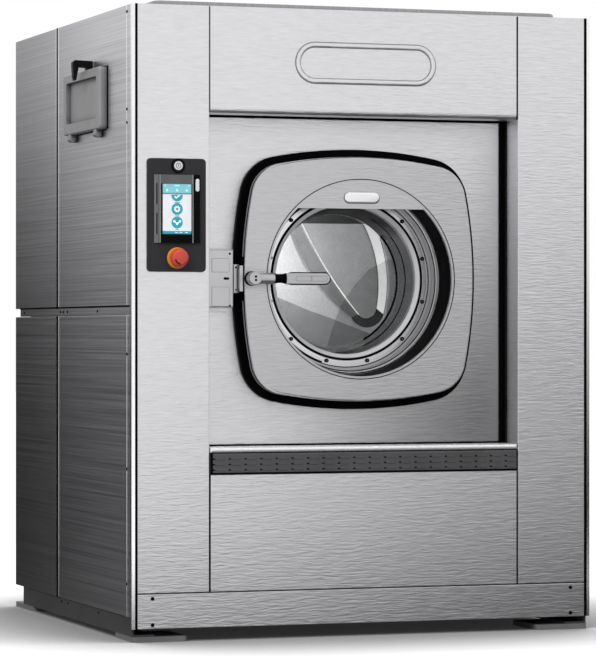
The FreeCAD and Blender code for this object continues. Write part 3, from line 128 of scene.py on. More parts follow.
class Mat(Nodes):
    """A Principled material and the textures that its looks need."""

    def __init__(self, name, color, rough=0.5, metallic=0.0, specular=0.5):
        self.mat = bpy.data.materials.new(name)
        self.mat.use_nodes = True
        super().__init__(self.mat.node_tree)
        self.bsdf = self.tree.nodes["Principled BSDF"]
        self.color = color
        self.base((*color, 1))
        self.set("Metallic", metallic)
        self.set("Roughness", rough)
        self.set("Specular IOR Level", specular)

    def set(self, socket, v):
        self.put(self.bsdf.inputs[socket], v)

    def base(self, tone):
        self.set("Base Color", tone)

    def coords(self):
        return self.node("TexCoord").outputs["Object"]

    def axes(self):
        s = self.node("SeparateXYZ", Vector=self.coords()).outputs
        return s[X], s[Y], s[Z]

    def about_door(self):
        """x and z from the door axis, y along it, and the distance from it."""
        x, y, z = self.axes()
        z = self.sub(z, DOOR_Z)
        return x, y, z, self.far(x, z)

    def far(self, a, b):
        return self.math("SQRT", self.add(self.mul(a, a), self.mul(b, b)))

    def join(self, x, y, z):
        return self.node("CombineXYZ", X=x, Y=y, Z=z).outputs[0]

    def noise(self, scale, detail=3.0, rough=0.55, v=None):
        n = self.node("TexNoise", Vector=v or self.coords(), Scale=scale, Detail=detail, Roughness=rough)
        return n.outputs["Fac"]

    def ramp(self, fac, *stops):
        r = self.node("ValToRGB", Fac=fac)
        marks = r.color_ramp.elements
        while len(marks) < len(stops):
            marks.new(0.5)
        for mark, (pos, color) in zip(marks, stops):
            mark.position = pos
            mark.color = (*color, 1)
        return r.outputs["Color"]

    def shades(self, fac, low, high, spread=0.22):
        """The material's colour, from darker to lighter, along a factor round one half."""
        dark, light = [tuple(min(1, v * share) for v in self.color) for share in (low, high)]
        return self.ramp(fac, (0.5 - spread, dark), (0.5 + spread, light))

    def blend(self, fac, a, b, kind="MIX"):
        n = self.node("MixRGB", Fac=fac, Color1=a, Color2=b)
        n.blend_type = kind
        return n.outputs[0]

    def paint_shade(self, tone, way, clear, full, share):
        """Painted shade: darken a colour to a share of itself along a direction, between two distances."""
        reach = 0.0
        for part, axis in zip(way, self.axes()):
            reach = self.add(self.mul(axis, part), reach)
        return self.blend(1.0, tone, self.ease(reach, clear, full, 1.0, share), "MULTIPLY")

    def rough(self, fac, low, high):
        self.set("Roughness", self.level(fac, low, high))

    def bump(self, fac, strength, distance):
        self.set("Normal", self.node("Bump", Height=fac, Strength=strength, Distance=distance).outputs[0])

    def mix(self, fac, first, second):
        """Mix of two shader nodes."""
        n = self.node("MixShader", Fac=fac)
        self.put(n.inputs[1], first.outputs[0])
        self.put(n.inputs[2], second.outputs[0])
        return n

    def surface(self, shader):
        self.put(self.tree.nodes["Material Output"].inputs["Surface"], shader.outputs[0])


def brushed(name, color, along="x", rough=0.36, fine=150.0, long=18.0, wave=0.012, contrast=(0.93, 1.05),
            bump=0.8, metallic=1.0, shade_fall=None):
    """Brushed sheet: thin wavy lines along one axis ('x', 'y' or 'z').

    shade_fall = (way, clear, full, share) paints shade: the tone darkens to a share of itself along a
    direction.
    """
    m = Mat(name, color, rough, metallic)
    x, y, z = m.axes()
    if along == "y":
        x, y = y, x
    if along == "z":
        x, z = z, x
    slow = m.noise(1.0, 2.0, v=m.join(m.mul(x, long), y, m.mul(z, 30.0)))
    across = m.add(z, m.mul(m.sub(slow, 0.5), wave))

    def streaks(length, width, detail, grain):
        v = m.join(m.mul(x, length), m.mul(y, 3.0), m.mul(across, width))
        return m.noise(1.0, detail, grain, v)

    lines = streaks(long, fine, 3.0, 0.62)
    broad = streaks(long * 0.5, fine * 0.35, 2.0, 0.5)
    both = m.add(m.mul(lines, 0.88), m.mul(broad, 0.12))
    tone = m.shades(both, *contrast)
    # painted shade: the tone darkens along a direction
    if shade_fall:
        tone = m.paint_shade(tone, *shade_fall)
    m.base(tone)
    m.rough(lines, rough - 0.07, rough + 0.09)
    m.bump(both, bump, 0.0014)
    return m.mat


def turned_steel(name, color, rough=0.22):
    """Turned or rolled steel: fine rings about the door axis."""
    m = Mat(name, color, rough, 1.0)
    x, y, _, r = m.about_door()
    rings = m.noise(1.0, 2.0, v=m.join(m.mul(r, 700.0), m.mul(y, 700.0), m.mul(x, 3.0)))
    m.base(m.shades(rings, 0.86, 1.1))
    m.rough(rings, rough - 0.06, rough + 0.1)
    m.bump(rings, 0.06, 0.0003)
    return m.mat


def plastic(name, color, rough=0.5, speck=900.0, depth=0.12, contrast=(0.85, 1.15), specular=0.5,
            corner=0.0):
    """Moulded plastic with a fine grain and faint clouds; corner is the reach of the painted shade that
    darkens it in corners.
    """
    m = Mat(name, color, rough, 0.0, specular)
    grain = m.noise(speck, 2.0)
    cloud = m.noise(18.0)
    tone = m.shades(m.add(m.mul(grain, 0.35), m.mul(cloud, 0.65)), *contrast)
    # painted shade: ambient occlusion darkens the colour toward black in corners and recesses
    if corner:
        near = m.node("AmbientOcclusion", Distance=corner, Color=tone).outputs["AO"]
        tone = m.blend(m.ramp(near, (0.35, grey(0.12)), (0.95, grey(1))), (0.02, 0.02, 0.021, 1), tone)
    m.base(tone)
    m.rough(cloud, rough - 0.08, rough + 0.08)
    m.bump(grain, depth, 0.0003)
    return m.mat


def painted(name, color, rough=0.45, specular=0.2):
    """Powder coat with orange peel and a little dust in its tone."""
    m = Mat(name, color, rough, 0.0, specular)
    dust = m.noise(5.0, 4.0)
    m.base(m.shades(dust, 0.8, 1.2))
    m.rough(dust, rough - 0.08, rough + 0.1)
    m.bump(m.noise(420.0, 2.0), 0.15, 0.0004)
    return m.mat


def rubber(name, color, rough=0.48, specular=0.2):
    m = Mat(name, color, rough, 0.0, specular)
    grain = m.noise(160.0)
    m.base(m.shades(grain, 0.7, 1.4))
    m.rough(m.noise(9.0), rough - 0.1, rough + 0.12)
    m.bump(grain, 0.1, 0.0004)
    return m.mat


def cast(name, color, metallic=0.3, rough=0.6):
    m = Mat(name, color, rough, metallic)
    grain = m.noise(130.0, 4.0, 0.6)
    m.base(m.shades(m.noise(12.0, 4.0), 0.8, 1.18))
    m.rough(grain, rough - 0.1, rough + 0.1)
    m.bump(grain, 0.25, 0.0006)
    return m.mat


def drum_sheet(name, color):
    """Drum steel: rows of round holes on the wall, between plain lifters."""
    radius, wall, pitch, rise = 0.596, 0.5925, 0.020, 0.866
    m = Mat(name, color, 0.30, 0.25)
    x, y, z, r = m.about_door()
    around = m.math("DIVIDE", m.mul(m.math("ARCTAN2", x, z), radius), pitch)
    rows = m.math("DIVIDE", y, pitch * rise)
    shift = m.mul(m.math("PINGPONG", m.math("FLOOR", rows), 1.0), 0.5)
    a = m.sub(m.math("FRACT", m.add(around, shift)), 0.5)
    b = m.mul(m.sub(m.math("FRACT", rows), 0.5), rise)
    holes = m.mul(m.sub(1.0, m.ease(m.far(a, b), 0.13, 0.19)), m.math("GREATER_THAN", r, wall))
    solid = m.sub(1.0, holes)
    stipple = m.noise(160.0, 2.0)
    m.base(m.blend(solid, (0.03, 0.03, 0.031, 1), m.shades(stipple, 0.86, 1.12)))
    m.rough(stipple, 0.34, 0.5)
    m.bump(solid, 0.6, 0.0015)
    return m.mat


def clear_glass(name, color):
    """Bright door glass: a clear body, a shine on the side that faces out, and free way for the lamps."""
    through, shine, smear = 0.92, 0.10, 0.05
    m = Mat(name, color, 0.0)
    m.set("Transmission Weight", 1.0)
    m.set("IOR", 1.45)
    m.rough(m.noise(26.0, 4.0), 0.0, smear)
    gloss = m.node("BsdfGlossy", Color=(1, 1, 1, 1), Roughness=0.08)
    outer = m.sub(1.0, m.node("NewGeometry").outputs["Backfacing"])
    body = m.mix(m.mul(outer, shine), m.bsdf, gloss)
    path = m.node("LightPath").outputs
    lamp = m.math("MAXIMUM", path["Is Shadow Ray"], path["Is Diffuse Ray"])
    m.surface(m.mix(lamp, body, m.node("BsdfTransparent", Color=(*grey(through), 1))))
    return m.mat


def smoked_sheet(name):
    """Thin smoked window: mostly see-through, with a sharp gloss."""
    m = Mat(name, (0.02, 0.02, 0.022), 0.08)
    edge = m.node("Fresnel", IOR=1.5).outputs[0]
    wipe = m.noise(40.0)
    m.rough(wipe, 0.04, 0.12)
    see = m.node("BsdfTransparent", Color=(0.94, 0.945, 0.95, 1))
    m.surface(m.mix(m.add(m.mul(edge, 0.9), m.mul(wipe, 0.10)), see, m.bsdf))
    return m.mat


def shade_film(name, painted_shade, top=None):
    """Thin see-through layer on glass that paints shade; light passes both faces. painted_shade is the share
    of light it lets through; top = (low, high, share) darkens it further upward.
    """
    m = Mat(name, grey(math.sqrt(painted_shade)), 0.3)
    tone = m.shades(m.noise(30.0), 0.98, 1.02)
    if top:
        tone = m.paint_shade(tone, (0, 0, 1), *top)
    m.surface(m.node("BsdfTransparent", Color=tone))
    return m.mat


def lit(name, color, strength):
    """A face that glows evenly, with the faint pixel rows of a panel; besides the display it gives the
    painted glow of the bezel and the painted highlight and reflection on the glass.
    """
    m = Mat(name, color, 0.25)
    rows = m.math("FRACT", m.mul(m.axes()[Z], 1400.0))
    tone = m.shades(m.add(0.42, m.mul(rows, 0.16)), 0.94, 1.04)
    m.base(tone)
    m.set("Emission Color", tone)
    m.set("Emission Strength", strength)
    return m.mat


FRONT_TONE = (0.75, 0.741, 0.763)
FRONT_GRAIN = {"contrast": (0.90, 1.05), "bump": 1.2}
DOOR_GRAIN = {"contrast": (0.90, 1.06), "bump": 1.2}
SIDE_GRAIN = {"fine": 210.0, "long": 0.8, "wave": 0.003, "bump": 0.3}

# Looks by slot, or by the name of a node that has a look of its own
M = {
    "brushed": brushed("steel_front", FRONT_TONE, **FRONT_GRAIN),
    # the right pillar's return darkens a little toward the back: painted shade
    "pillar_right": brushed(
        "steel_cheek_painted_shade", FRONT_TONE, **FRONT_GRAIN, shade_fall=((0, 1, 0), FRONT + 0.004, FRONT + 0.03, 0.98)),
    "door_face": brushed("steel_door", (0.565, 0.557, 0.577), **DOOR_GRAIN),
    # the recessed panel darkens toward its lower right, next to the right cheek and the sill: painted shade
    "door_panel": brushed(
        "steel_recess_painted_shade", (0.73, 0.722, 0.742), **DOOR_GRAIN, shade_fall=((1, 0, -0.8), -0.90, 0.05, 0.36)),
    # the side steel is a darker copy of the front steel and darkens further toward the back: painted shade
    "side_sheet": brushed("steel_side_painted_shade", (0.61, 0.60, 0.625), "y", 0.38, contrast=(0.78, 1.20), **SIDE_GRAIN,
                          shade_fall=((0, 1, 0), -0.5, 0.75, 0.58)),
    # the lid is a much darker copy of the front steel: painted shade on the top
    "top_cover": brushed("steel_lid_painted_shade", (0.34, 0.34, 0.35), "z", contrast=(0.80, 1.18), **SIDE_GRAIN),
    "lock_housing": brushed(
        "lock_satin", (0.58, 0.575, 0.595), "x", 0.42, 600.0, 40.0, 0.0005, (0.96, 1.04), 0.05),
    "front_sill": brushed(
        "sill_bright", (0.97, 0.965, 0.98), "x", 0.26, 400.0, 20.0, 0.001, (0.96, 1.03), 0.05, 0.45),
    "handle_metal": brushed(
        "handle_satin", (0.50, 0.50, 0.512), "x", 0.30, 900.0, 10.0, 0.001, (0.9, 1.08), 0.05),
    "tub_steel": brushed("tub_steel", (0.5, 0.5, 0.51), "y", rough=0.42),
    "drum_steel": drum_sheet("drum_steel", (0.72, 0.72, 0.73)),
    "bright_steel": turned_steel("steel_bright", (0.80, 0.80, 0.82)),
    "button_metal": turned_steel("button_metal", (0.72, 0.72, 0.73), 0.28),
    # the tunnel rings and the clamp border are a darker copy of the bright steel: painted shade inside the
    # tunnel
    "tunnel_rings": turned_steel("steel_satin_painted_shade", (0.46, 0.46, 0.47), 0.30),
    "frame_paint": painted("frame_black", (0.012, 0.012, 0.013)),
    "base_paint": painted("base_grey", (0.080, 0.080, 0.083), specular=0.08),
    # the foot plates are a lighter copy of the base paint, lifted out of their shadow: painted light
    "foot_plates": painted("foot_grey_painted_light", (0.20, 0.20, 0.205), specular=0.08),
    "grille_dark": painted("grille_charcoal", (0.10, 0.10, 0.104), 0.5),
    "motor_paint": painted("motor_paint", (0.09, 0.105, 0.12)),
    "black_rubber": rubber("rubber_black", (0.002, 0.002, 0.0022), 0.45, 0.02),
    "belt_rubber": rubber("belt_rubber", grey(0.015), 0.6),
    "cast_grey": cast("cast_grey", (0.16, 0.16, 0.165)),
    "brass": cast("brass_valve", (0.62, 0.44, 0.16), 0.9, 0.35),
    "door_glass": clear_glass("door_glass", (0.95, 0.965, 0.965)),
    "smoked": smoked_sheet("smoked_window"),
    "charcoal": plastic("charcoal", (0.026, 0.025, 0.028), 0.55, specular=0.25),
    "door_black": plastic("door_black", (0.002, 0.002, 0.0022), 0.42, 500.0, 0.06, (0.8, 1.2), 0.04),
    "screen": plastic("screen_black", (0.006, 0.006, 0.007), 0.12, 200.0, 0.0, (0.9, 1.1)),
    "white_plastic": plastic("grip_white", (0.95, 0.95, 0.96), 0.35),
    "hinge_grey": plastic("hinge_grey", (0.20, 0.20, 0.21), 0.4),
    "stop_yellow": plastic("stop_amber", (0.86, 0.27, 0.022), 0.42, specular=0.3),
    "stop_red": plastic("stop_red", (0.66, 0.078, 0.055), 0.40),
    "stem_black": plastic("stem_black", grey(0.02)),
    # corner paints shade into the corners of the flap's recess
    "hatch_grey": plastic("hatch_grey", (0.32, 0.315, 0.325), 0.46, 700.0, 0.2, corner=0.030),
    "hook_black": plastic("hook_black", (0.003, 0.003, 0.0035), 0.4, specular=0.10),
    "hopper_plastic": plastic("hopper_pale", grey(0.5)),
    "drain_plastic": plastic("drain_grey", (0.2, 0.2, 0.205)),
}
M["window_plate"] = M["door_face"]
slot_of = {s["node"]: s["material_slot"] for s in frame["record"]["subparts"]}
for name, obj in nodes.items():
    obj.data.materials.clear()
    obj.data.materials.append(M.get(name) or M[slot_of[name]])

POLISHED = turned_steel("steel_polished", (0.93, 0.93, 0.94), 0.16)
STRIKE = turned_steel("strike_satin", (0.60, 0.60, 0.615), 0.36)
LINE = plastic("line_grey", (0.24, 0.24, 0.25), specular=0.3)
# dark grey for joints, outlines and marks, and for the painted shadow round the badge
SMOKE = plastic("dark_marks_and_painted_shade", (0.10, 0.10, 0.105), specular=0.3)
# black for joints, screws and marks, and for the painted shadows round the hatch, the handle and the clamp
# ring
BLACK_MARK_AND_SHADE = plastic("black_marks_and_painted_shade", (0.003, 0.003, 0.0033), specular=0.02)
# grey for a painted sheen along the black door shell
SHEEN_BEAD = plastic("painted_sheen_grey", (0.22, 0.22, 0.23), 0.4, specular=0.4)


# Pieces

SHARP = math.radians(35)


def meshes(count):
    return [bmesh.new() for _ in range(count)]


def placed(name, data):
    obj = bpy.data.objects.new(name, data)
    scene.collection.objects.link(obj)
    return obj


def new_object(name, bm, mat):
    mesh = bpy.data.meshes.new(name)
    bm.normal_update()
    bm.to_mesh(mesh)
    bm.free()
    mesh.materials.append(mat)
    return placed(name, mesh)


def piece(name, bm, mat, body="cabinet", smooth=False):
    """Add a finished bmesh to the model."""
    obj = new_object(name, bm, mat)
    if smooth:
        for p in obj.data.polygons:
            p.use_smooth = True
        obj.modifiers.new("crease", "EDGE_SPLIT").split_angle = SHARP
    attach(obj, body)


def shell(name, bm, mat, smooth=False):
    """Add a closed piece of the door, with all its faces turned outward."""
    bmesh.ops.recalc_face_normals(bm, faces=bm.faces)
    piece(name, bm, mat, "door", smooth)


def dark_mark_and_shade(name, bm, body="cabinet", smooth=False, mat=BLACK_MARK_AND_SHADE):
    """Add a dark joint, line or mark, or a piece of painted shadow."""
    piece(name, bm, mat, body, smooth)


# Shapes

OUT = Vector((0, -1, 0))


def frame_at(pos, normal):
    """Matrix that puts local +Z along normal at pos."""
    turn = Vector(normal).normalized().to_track_quat("Z", "Y").to_matrix().to_4x4()
    return Matrix.Translation(Vector(pos)) @ turn


def face_place(x, y, z):
    """Local x runs to the right and local y upward on a front face."""
    return Matrix.Translation((x, y, z)) @ Matrix.Rotation(math.radians(90), 4, "X")


def row_at(bm, points, place, h):
    return [bm.verts.new(place @ Vector((x, y, h))) for x, y in points]


def loft(bm, rows, closed=False, caps=False):
    """Faces between rows that have the same number of points."""
    for a, b in zip(rows, rows[1:] + (rows[:1] if closed else [])):
        for i in range(len(a)):
            j = (i + 1) % len(a)
            bm.faces.new((a[i], a[j], b[j], b[i]))
    if caps:
        bm.faces.new(rows[0][::-1])
        bm.faces.new(rows[-1])


def circle(r, steps):
    return [(r * math.cos(TURN * i / steps), r * math.sin(TURN * i / steps)) for i in range(steps)]


def lathe(bm, profile, place, steps, closed=False):
    """Revolve (radius, height) points about local Z; a last point on the axis closes the end."""
    rings = [row_at(bm, circle(r, steps), place, h) for r, h in profile if r]
    loft(bm, rings, closed)
    r, h = profile[-1]
    if not r:
        tip = row_at(bm, [(0, 0)], place, h)[0]
        for a, b in zip(rings[-1], rings[-1][1:] + rings[-1][:1]):
            bm.faces.new((a, b, tip))


def outline_plate(bm, points, place, h0, h1):
    """Closed plate from local (x, y) outline points between two heights."""
    loft(bm, [row_at(bm, points, place, h) for h in (h0, h1)], caps=True)


def band(bm, outer, inner, place, h0, h1):
    """Closed frame between two outlines that have the same number of points."""
    around = ((outer, h0), (outer, h1), (inner, h1), (inner, h0))
    loft(bm, [row_at(bm, points, place, h) for points, h in around], closed=True)


def block(bm, a, b, bevel):
    """Bar between two corners, with its edges rounded off."""
    a, b = Vector(a), Vector(b)
    mid, size = (a + b) / 2, b - a
    made = bmesh.ops.create_cube(bm, size=1.0)["verts"]
    for v in made:
        v.co = mid + v.co * size
    edges = list({e for v in made for e in v.link_edges})
    bmesh.ops.bevel(bm, geom=edges, offset=bevel, segments=2, profile=0.5, affect="EDGES")


def tube(bm, path, radius, sides=8):
    """Round bead along a path of points, closed at both ends."""
    path = [Vector(p) for p in path]
    rings = []
    for i, p in enumerate(path):
        ahead = (path[min(i + 1, len(path) - 1)] - path[max(i - 1, 0)]).normalized()
        side = ahead.cross(Vector((0, 1, 0))).normalized()
        up = side.cross(ahead)
        rings.append([bm.verts.new(p + side * a + up * b) for a, b in circle(radius, sides)])
    loft(bm, rings, caps=True)


def arc3(a, b, c, steps):
    """Points on the circle through three (x, z) points, from the first to the last."""
    (ax, az), (bx, bz), (cx, cz) = a, b, c
    qa, qb, qc = (x * x + z * z for x, z in (a, b, c))
    d = 2 * (ax * (bz - cz) + bx * (cz - az) + cx * (az - bz))
    ux = (qa * (bz - cz) + qb * (cz - az) + qc * (az - bz)) / d
    uz = (qa * (cx - bx) + qb * (ax - cx) + qc * (bx - ax)) / d
    r = math.hypot(ax - ux, az - uz)
    start, mid, end = (math.atan2(z - uz, x - ux) for x, z in (a, b, c))
    span = (end - start) % TURN
    if (mid - start) % TURN >= span:
        span -= TURN
    angles = [start + span * i / steps for i in range(steps + 1)]
    return [(ux + r * math.cos(t), uz + r * math.sin(t)) for t in angles]


def screw(bm, pos, normal, r):
    """Round head with a sunk drive."""
    h = 0.45 * r
    lathe(bm, [(r, 0), (r, 0.4 * h), (0.82 * r, 0.85 * h), (0.5 * r, h), (0.44 * r, h), (0.40 * r, 0.35 * h),
               (0, 0.35 * h)], frame_at(pos, normal), 14)


def oval(w, h, steps=20):
    """Outline of a level bar with round ends, centred on the origin."""
    r = h / 2
    angles = [math.pi * (i / steps - 0.5) for i in range(steps + 1)]
    right = [(w / 2 - r + r * math.cos(a), r * math.sin(a)) for a in angles]
    return right + [(-x, -y) for x, y in right]


def rect(w, h):
    return [(-w / 2, -h / 2), (w / 2, -h / 2), (w / 2, h / 2), (-w / 2, h / 2)]


def round_rect(w, h, r, steps=5):
    pts = []
    for k, (sx, sy) in enumerate(((1, 1), (-1, 1), (-1, -1), (1, -1))):
        for i in range(steps + 1):
            a = TURN / 4 * (k + i / steps)
            pts.append((sx * (w / 2 - r) + r * math.cos(a), sy * (h / 2 - r) + r * math.sin(a)))
    return pts


# Front panels: painted shade round the blank field's rim, joints, pillar caps, grille

def field_rim_painted_shade():
    """Dark outlines on both sides of the raised rim of the blank field: painted shade along its edges."""
    w, h, rim, outer, inner = 0.452, 0.123, 0.014, 0.0024, 0.0018
    place = face_place(0, FRONT, TOP - 0.162)
    bm = bmesh.new()
    for grow, wide in ((0.0, outer), (-2 * (rim + inner), inner)):
        w0, h0 = w + grow, h + grow
        band(bm, oval(w0 + 2 * wide, h0 + 2 * wide), oval(w0, h0), place, -0.0002, 0.0006)
    piece("field_rim_painted_shade", bm, LINE)


def panel_seams():
    """Dark joints: beside the corner trims, beside the lower panel and beside the header."""
    a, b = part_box("lower_front_panel")
    head, foot = lo("header_panel").z, lo("plinth_panel").z
    trim, wide, narrow = 0.0042, 0.0026, 0.0014
    black, smoke = meshes(2)
    for way, skin, panel, upper in ((-1, LEFT, a.x, (smoke, narrow)), (1, RIGHT, b.x, (black, wide))):
        edge, side = skin - way * 0.0125, panel + way * 0.0010
        for x, (bm, half), z0, z1 in ((edge, (black, trim), foot, TOP), (side, (black, wide), a.z, b.z),
                                      (side, upper, head, TOP - 0.002)):
            block(bm, (x - half, FRONT - 0.0004, z0), (x + half, FRONT + 0.0010, z1), 0.0002)
    dark_mark_and_shade("panel_seams", black)
    dark_mark_and_shade("header_seams", smoke, mat=SMOKE)


def pillar_caps():
    """Folded steel caps that close the tops of the two front pillars."""
    inset, low, high = 0.0015, 0.0035, 0.0010
    back = lo("top_cover").y - 0.0005
    bm = bmesh.new()
    for node in ("pillar_left", "pillar_right"):
        a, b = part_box(node)
        block(bm, (a.x + inset, a.y + inset, b.z - low), (b.x - inset, back, b.z - high), 0.0006)
    piece("pillar_caps", bm, M["brushed"])


def grille_lips():
    """Pressed lip over each louvre slot, open at its left end, and the dark edge round the strip."""
    cols, rows, drop_by = 20, 3, 0.0029
    a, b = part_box("vent_grille")
    pitch, rise = (b.x - a.x) / cols, (b.z - a.z) / (rows + 0.6)
    lips, edge = meshes(2)
    for i in range(cols):
        x = a.x + pitch * (i + 0.5)
        for j in range(rows):
            z = a.z + rise * (j + 0.8) - drop_by
            block(lips, (x - 0.22 * pitch, a.y - 0.0012, z - 0.0024),
                  (x + 0.385 * pitch, a.y + 0.0030, z + 0.0032), 0.0009)
    for x0, x1, z1 in ((a.x, a.x + 0.0065, b.z), (b.x - 0.0040, b.x, b.z), (a.x, b.x, a.z + 0.0030)):
        block(edge, (x0, a.y - 0.0004, a.z), (x1, a.y + 0.0050, z1), 0.0002)
    piece("grille_lips", lips, M["grille_dark"])
    dark_mark_and_shade("grille_edge", edge)


# Sides: painted shadow round the hatch, corner trims, seams and screws

def hatch_gap_shadow():
    """Black band on the skin round the soap flap, widest on its front side: painted shadow of the flap."""
    a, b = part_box("dispenser_flap")
    y0, y1, z0, z1 = a.y, b.y, b.z - 0.190, b.z
    thin, wide, under = 0.003, 0.014, 0.002
    bm = bmesh.new()
    for p, q in (((y0 - wide, z0), (y0 + under, z1 + thin)), ((y0, z1), (y1, z1 + thin)),
                 ((y0, z0 - thin), (y1, z0))):
        block(bm, (LEFT - 0.0007, *p), (LEFT + 0.0004, *q), 0.0002)
    dark_mark_and_shade("hatch_gap_shadow", bm)


def corner_trims():
    """Polished angle that wraps the front edge of each side skin."""
    out, wrap, leg, proud, inner = 0.0020, 0.011, 0.0085, 0.0014, 0.0006
    section = [(-out, wrap), (-out, -0.0002), (-0.0012, -0.0010), (0.0, -proud), (leg, -proud),
               (leg, 0.0010), (inner, 0.0010), (inner, wrap)]
    for side, skin, way in (("left", LEFT, 1), ("right", RIGHT, -1)):
        bm = bmesh.new()
        points = [(skin + way * d, FRONT + y) for d, y in section]
        outline_plate(bm, points[::way], Matrix(), lo("plinth_panel").z, TOP)
        piece("corner_trim_" + side, bm, POLISHED)


def side_seams():
    """Dark joint and bright folds between the front and rear cladding of each side, and over the rail."""
    proud, gap, edge, line, bevel = 0.0008, 0.010, 0.017, 0.0025, 0.0003
    split = (hi("left_front_lower").y + lo("left_rear_panels").y) / 2
    fold = FRONT + 0.059
    folds = ((split + gap, split + edge), (split - edge, split - gap), (fold - line, fold + line))
    rail, rail_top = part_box("side_mid_rails")
    dark, bright = meshes(2)
    for x0, x1 in ((LEFT - proud, LEFT + proud), (RIGHT - proud, RIGHT + proud)):
        for z0, z1 in ((lo("left_front_lower").z, rail.z), (rail_top.z, hi("left_front_upper").z)):
            block(dark, (x0, split - gap, z0), (x1, split + gap, z1), bevel)
            for y0, y1 in folds:
                block(bright, (x0, y0, z0), (x1, y1, z1), bevel)
        block(dark, (x0, FRONT + 0.035, rail_top.z - 0.001), (x1, rail_top.y, rail_top.z + 0.004), bevel)
    dark_mark_and_shade("side_seams_dark", dark)
    piece("side_seams_bright", bright, POLISHED)


def cladding_screws():
    """Dark screws of the side skins, the mid and base rails, the plinth and the rear sheets."""
    column, rail_z, base_z = FRONT + 0.055, middle("side_mid_rails", Z), lo("base_frame").z + 0.045
    foot, plinth_x, inset = lo("plinth_panel").z, hi("plinth_panel").x - 0.047, 0.02
    bm = bmesh.new()
    for skin, out, end in ((LEFT, -1, lo), (RIGHT, 1, hi)):
        for down in (0.020, 0.311, 0.351, 1.042, 1.385, 1.728):
            screw(bm, (skin, column, TOP - down), (out, 0, 0), 0.0046)
        for back in (1.285, 0.823, 0.786, 0.737, 0.384):
            screw(bm, (end("side_mid_rails").x, FRONT + back, rail_z), (out, 0, 0), 0.0042)
        for back in (0.82, 0.74, 0.38):
            screw(bm, (end("base_frame").x, FRONT + back, base_z), (out, 0, 0), 0.0042)
        for up in (0.0115, 0.090):
            screw(bm, (out * plinth_x, FRONT, foot + up), OUT, 0.0058)
    for node in ("rear_panel_upper", "rear_panel_lower"):
        a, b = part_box(node)
        for x in (a.x + inset, (a.x + b.x) / 2, b.x - inset):
            for z in (a.z + inset, b.z - inset):
                screw(bm, (x, hi("rear_panel_upper").y, z), (0, 1, 0), 0.0052)
    piece("cladding_screws", bm, BLACK_MARK_AND_SHADE, smooth=True)


# Door edge, lock and handle

LIP = 0.0082


def hull(points):
    """Convex outline of (x, z) points, in turning order."""
    points = sorted(set(points))

    def turns_right(p, q, r):
        return (q[0] - p[0]) * (r[1] - p[1]) - (q[1] - p[1]) * (r[0] - p[0]) <= 0

    def chain(run):
        out = []
        for p in run:
            while len(out) > 1 and turns_right(out[-2], out[-1], p):
                out.pop()
            out.append(p)
        return out[:-1]

    return chain(points) + chain(points[::-1])


def door_outline(way):
    """Points (x, z) of the door face's outline on its left (-1) or right (1) half, from foot to top."""
    face = nodes["door_face"]
    world = [face.matrix_world @ v.co for v in face.data.vertices]
    edge = [p for p in hull([(round(v.x, 5), round(v.z, 5)) for v in world]) if way * p[0] > 0]
    return sorted(edge, key=lambda p: math.atan2(p[1] - DOOR_Z, way * p[0]))


def edge_strip(name, points, section, mat):
    """Strip along (x, z) points; section(x) gives its corners as (x, depth behind the door face)."""
    bm = bmesh.new()
    rows = [[bm.verts.new((px, DOOR_FACE + py, z)) for px, py in section(x)] for x, z in points]
    loft(bm, rows, caps=True)
    shell(name, bm, mat)


def door_lip():
    """Folded edge on the latch side of the door face, a grey bead behind it that paints a sheen along the
    black shell, a dark line on the hinge side.
    """
    left, right = door_outline(-1), door_outline(1)
    straight = 0.6 * min(x for x, z in left)
    bolt_gap, bead_r, bead_depth = 0.038, 0.0022, 0.049

    def fold(x):
        tip, root, back = x - LIP * min(1.0, x / straight), x + 0.007, 0.006
        return (tip, 0.0016), (tip + 0.0016, -0.0003), (root, -0.0003), (root, back), (tip, back)

    def line(x):
        x0, x1, front, back = x - 0.002, x + 0.0026, 0.0012, 0.0042
        return (x0, front), (x1, front), (x1, back), (x0, back)

    edge_strip("door_lip", left, fold, M["door_face"])
    edge_strip("door_rim_line", right, line, BLACK_MARK_AND_SHADE)
    # painted sheen: grey bead along the side of the black shell, above and below the bolt
    bead = bmesh.new()
    for way in (-1, 1):
        run = [(x, z) for x, z in left if x < straight and way * (z - DOOR_Z) > bolt_gap]
        tube(bead, [(x + 0.0012, DOOR_FACE + bead_depth, z) for x, z in run], bead_r)
    piece("shell_sheen_bead", bead, SHEEN_BEAD, "door", True)


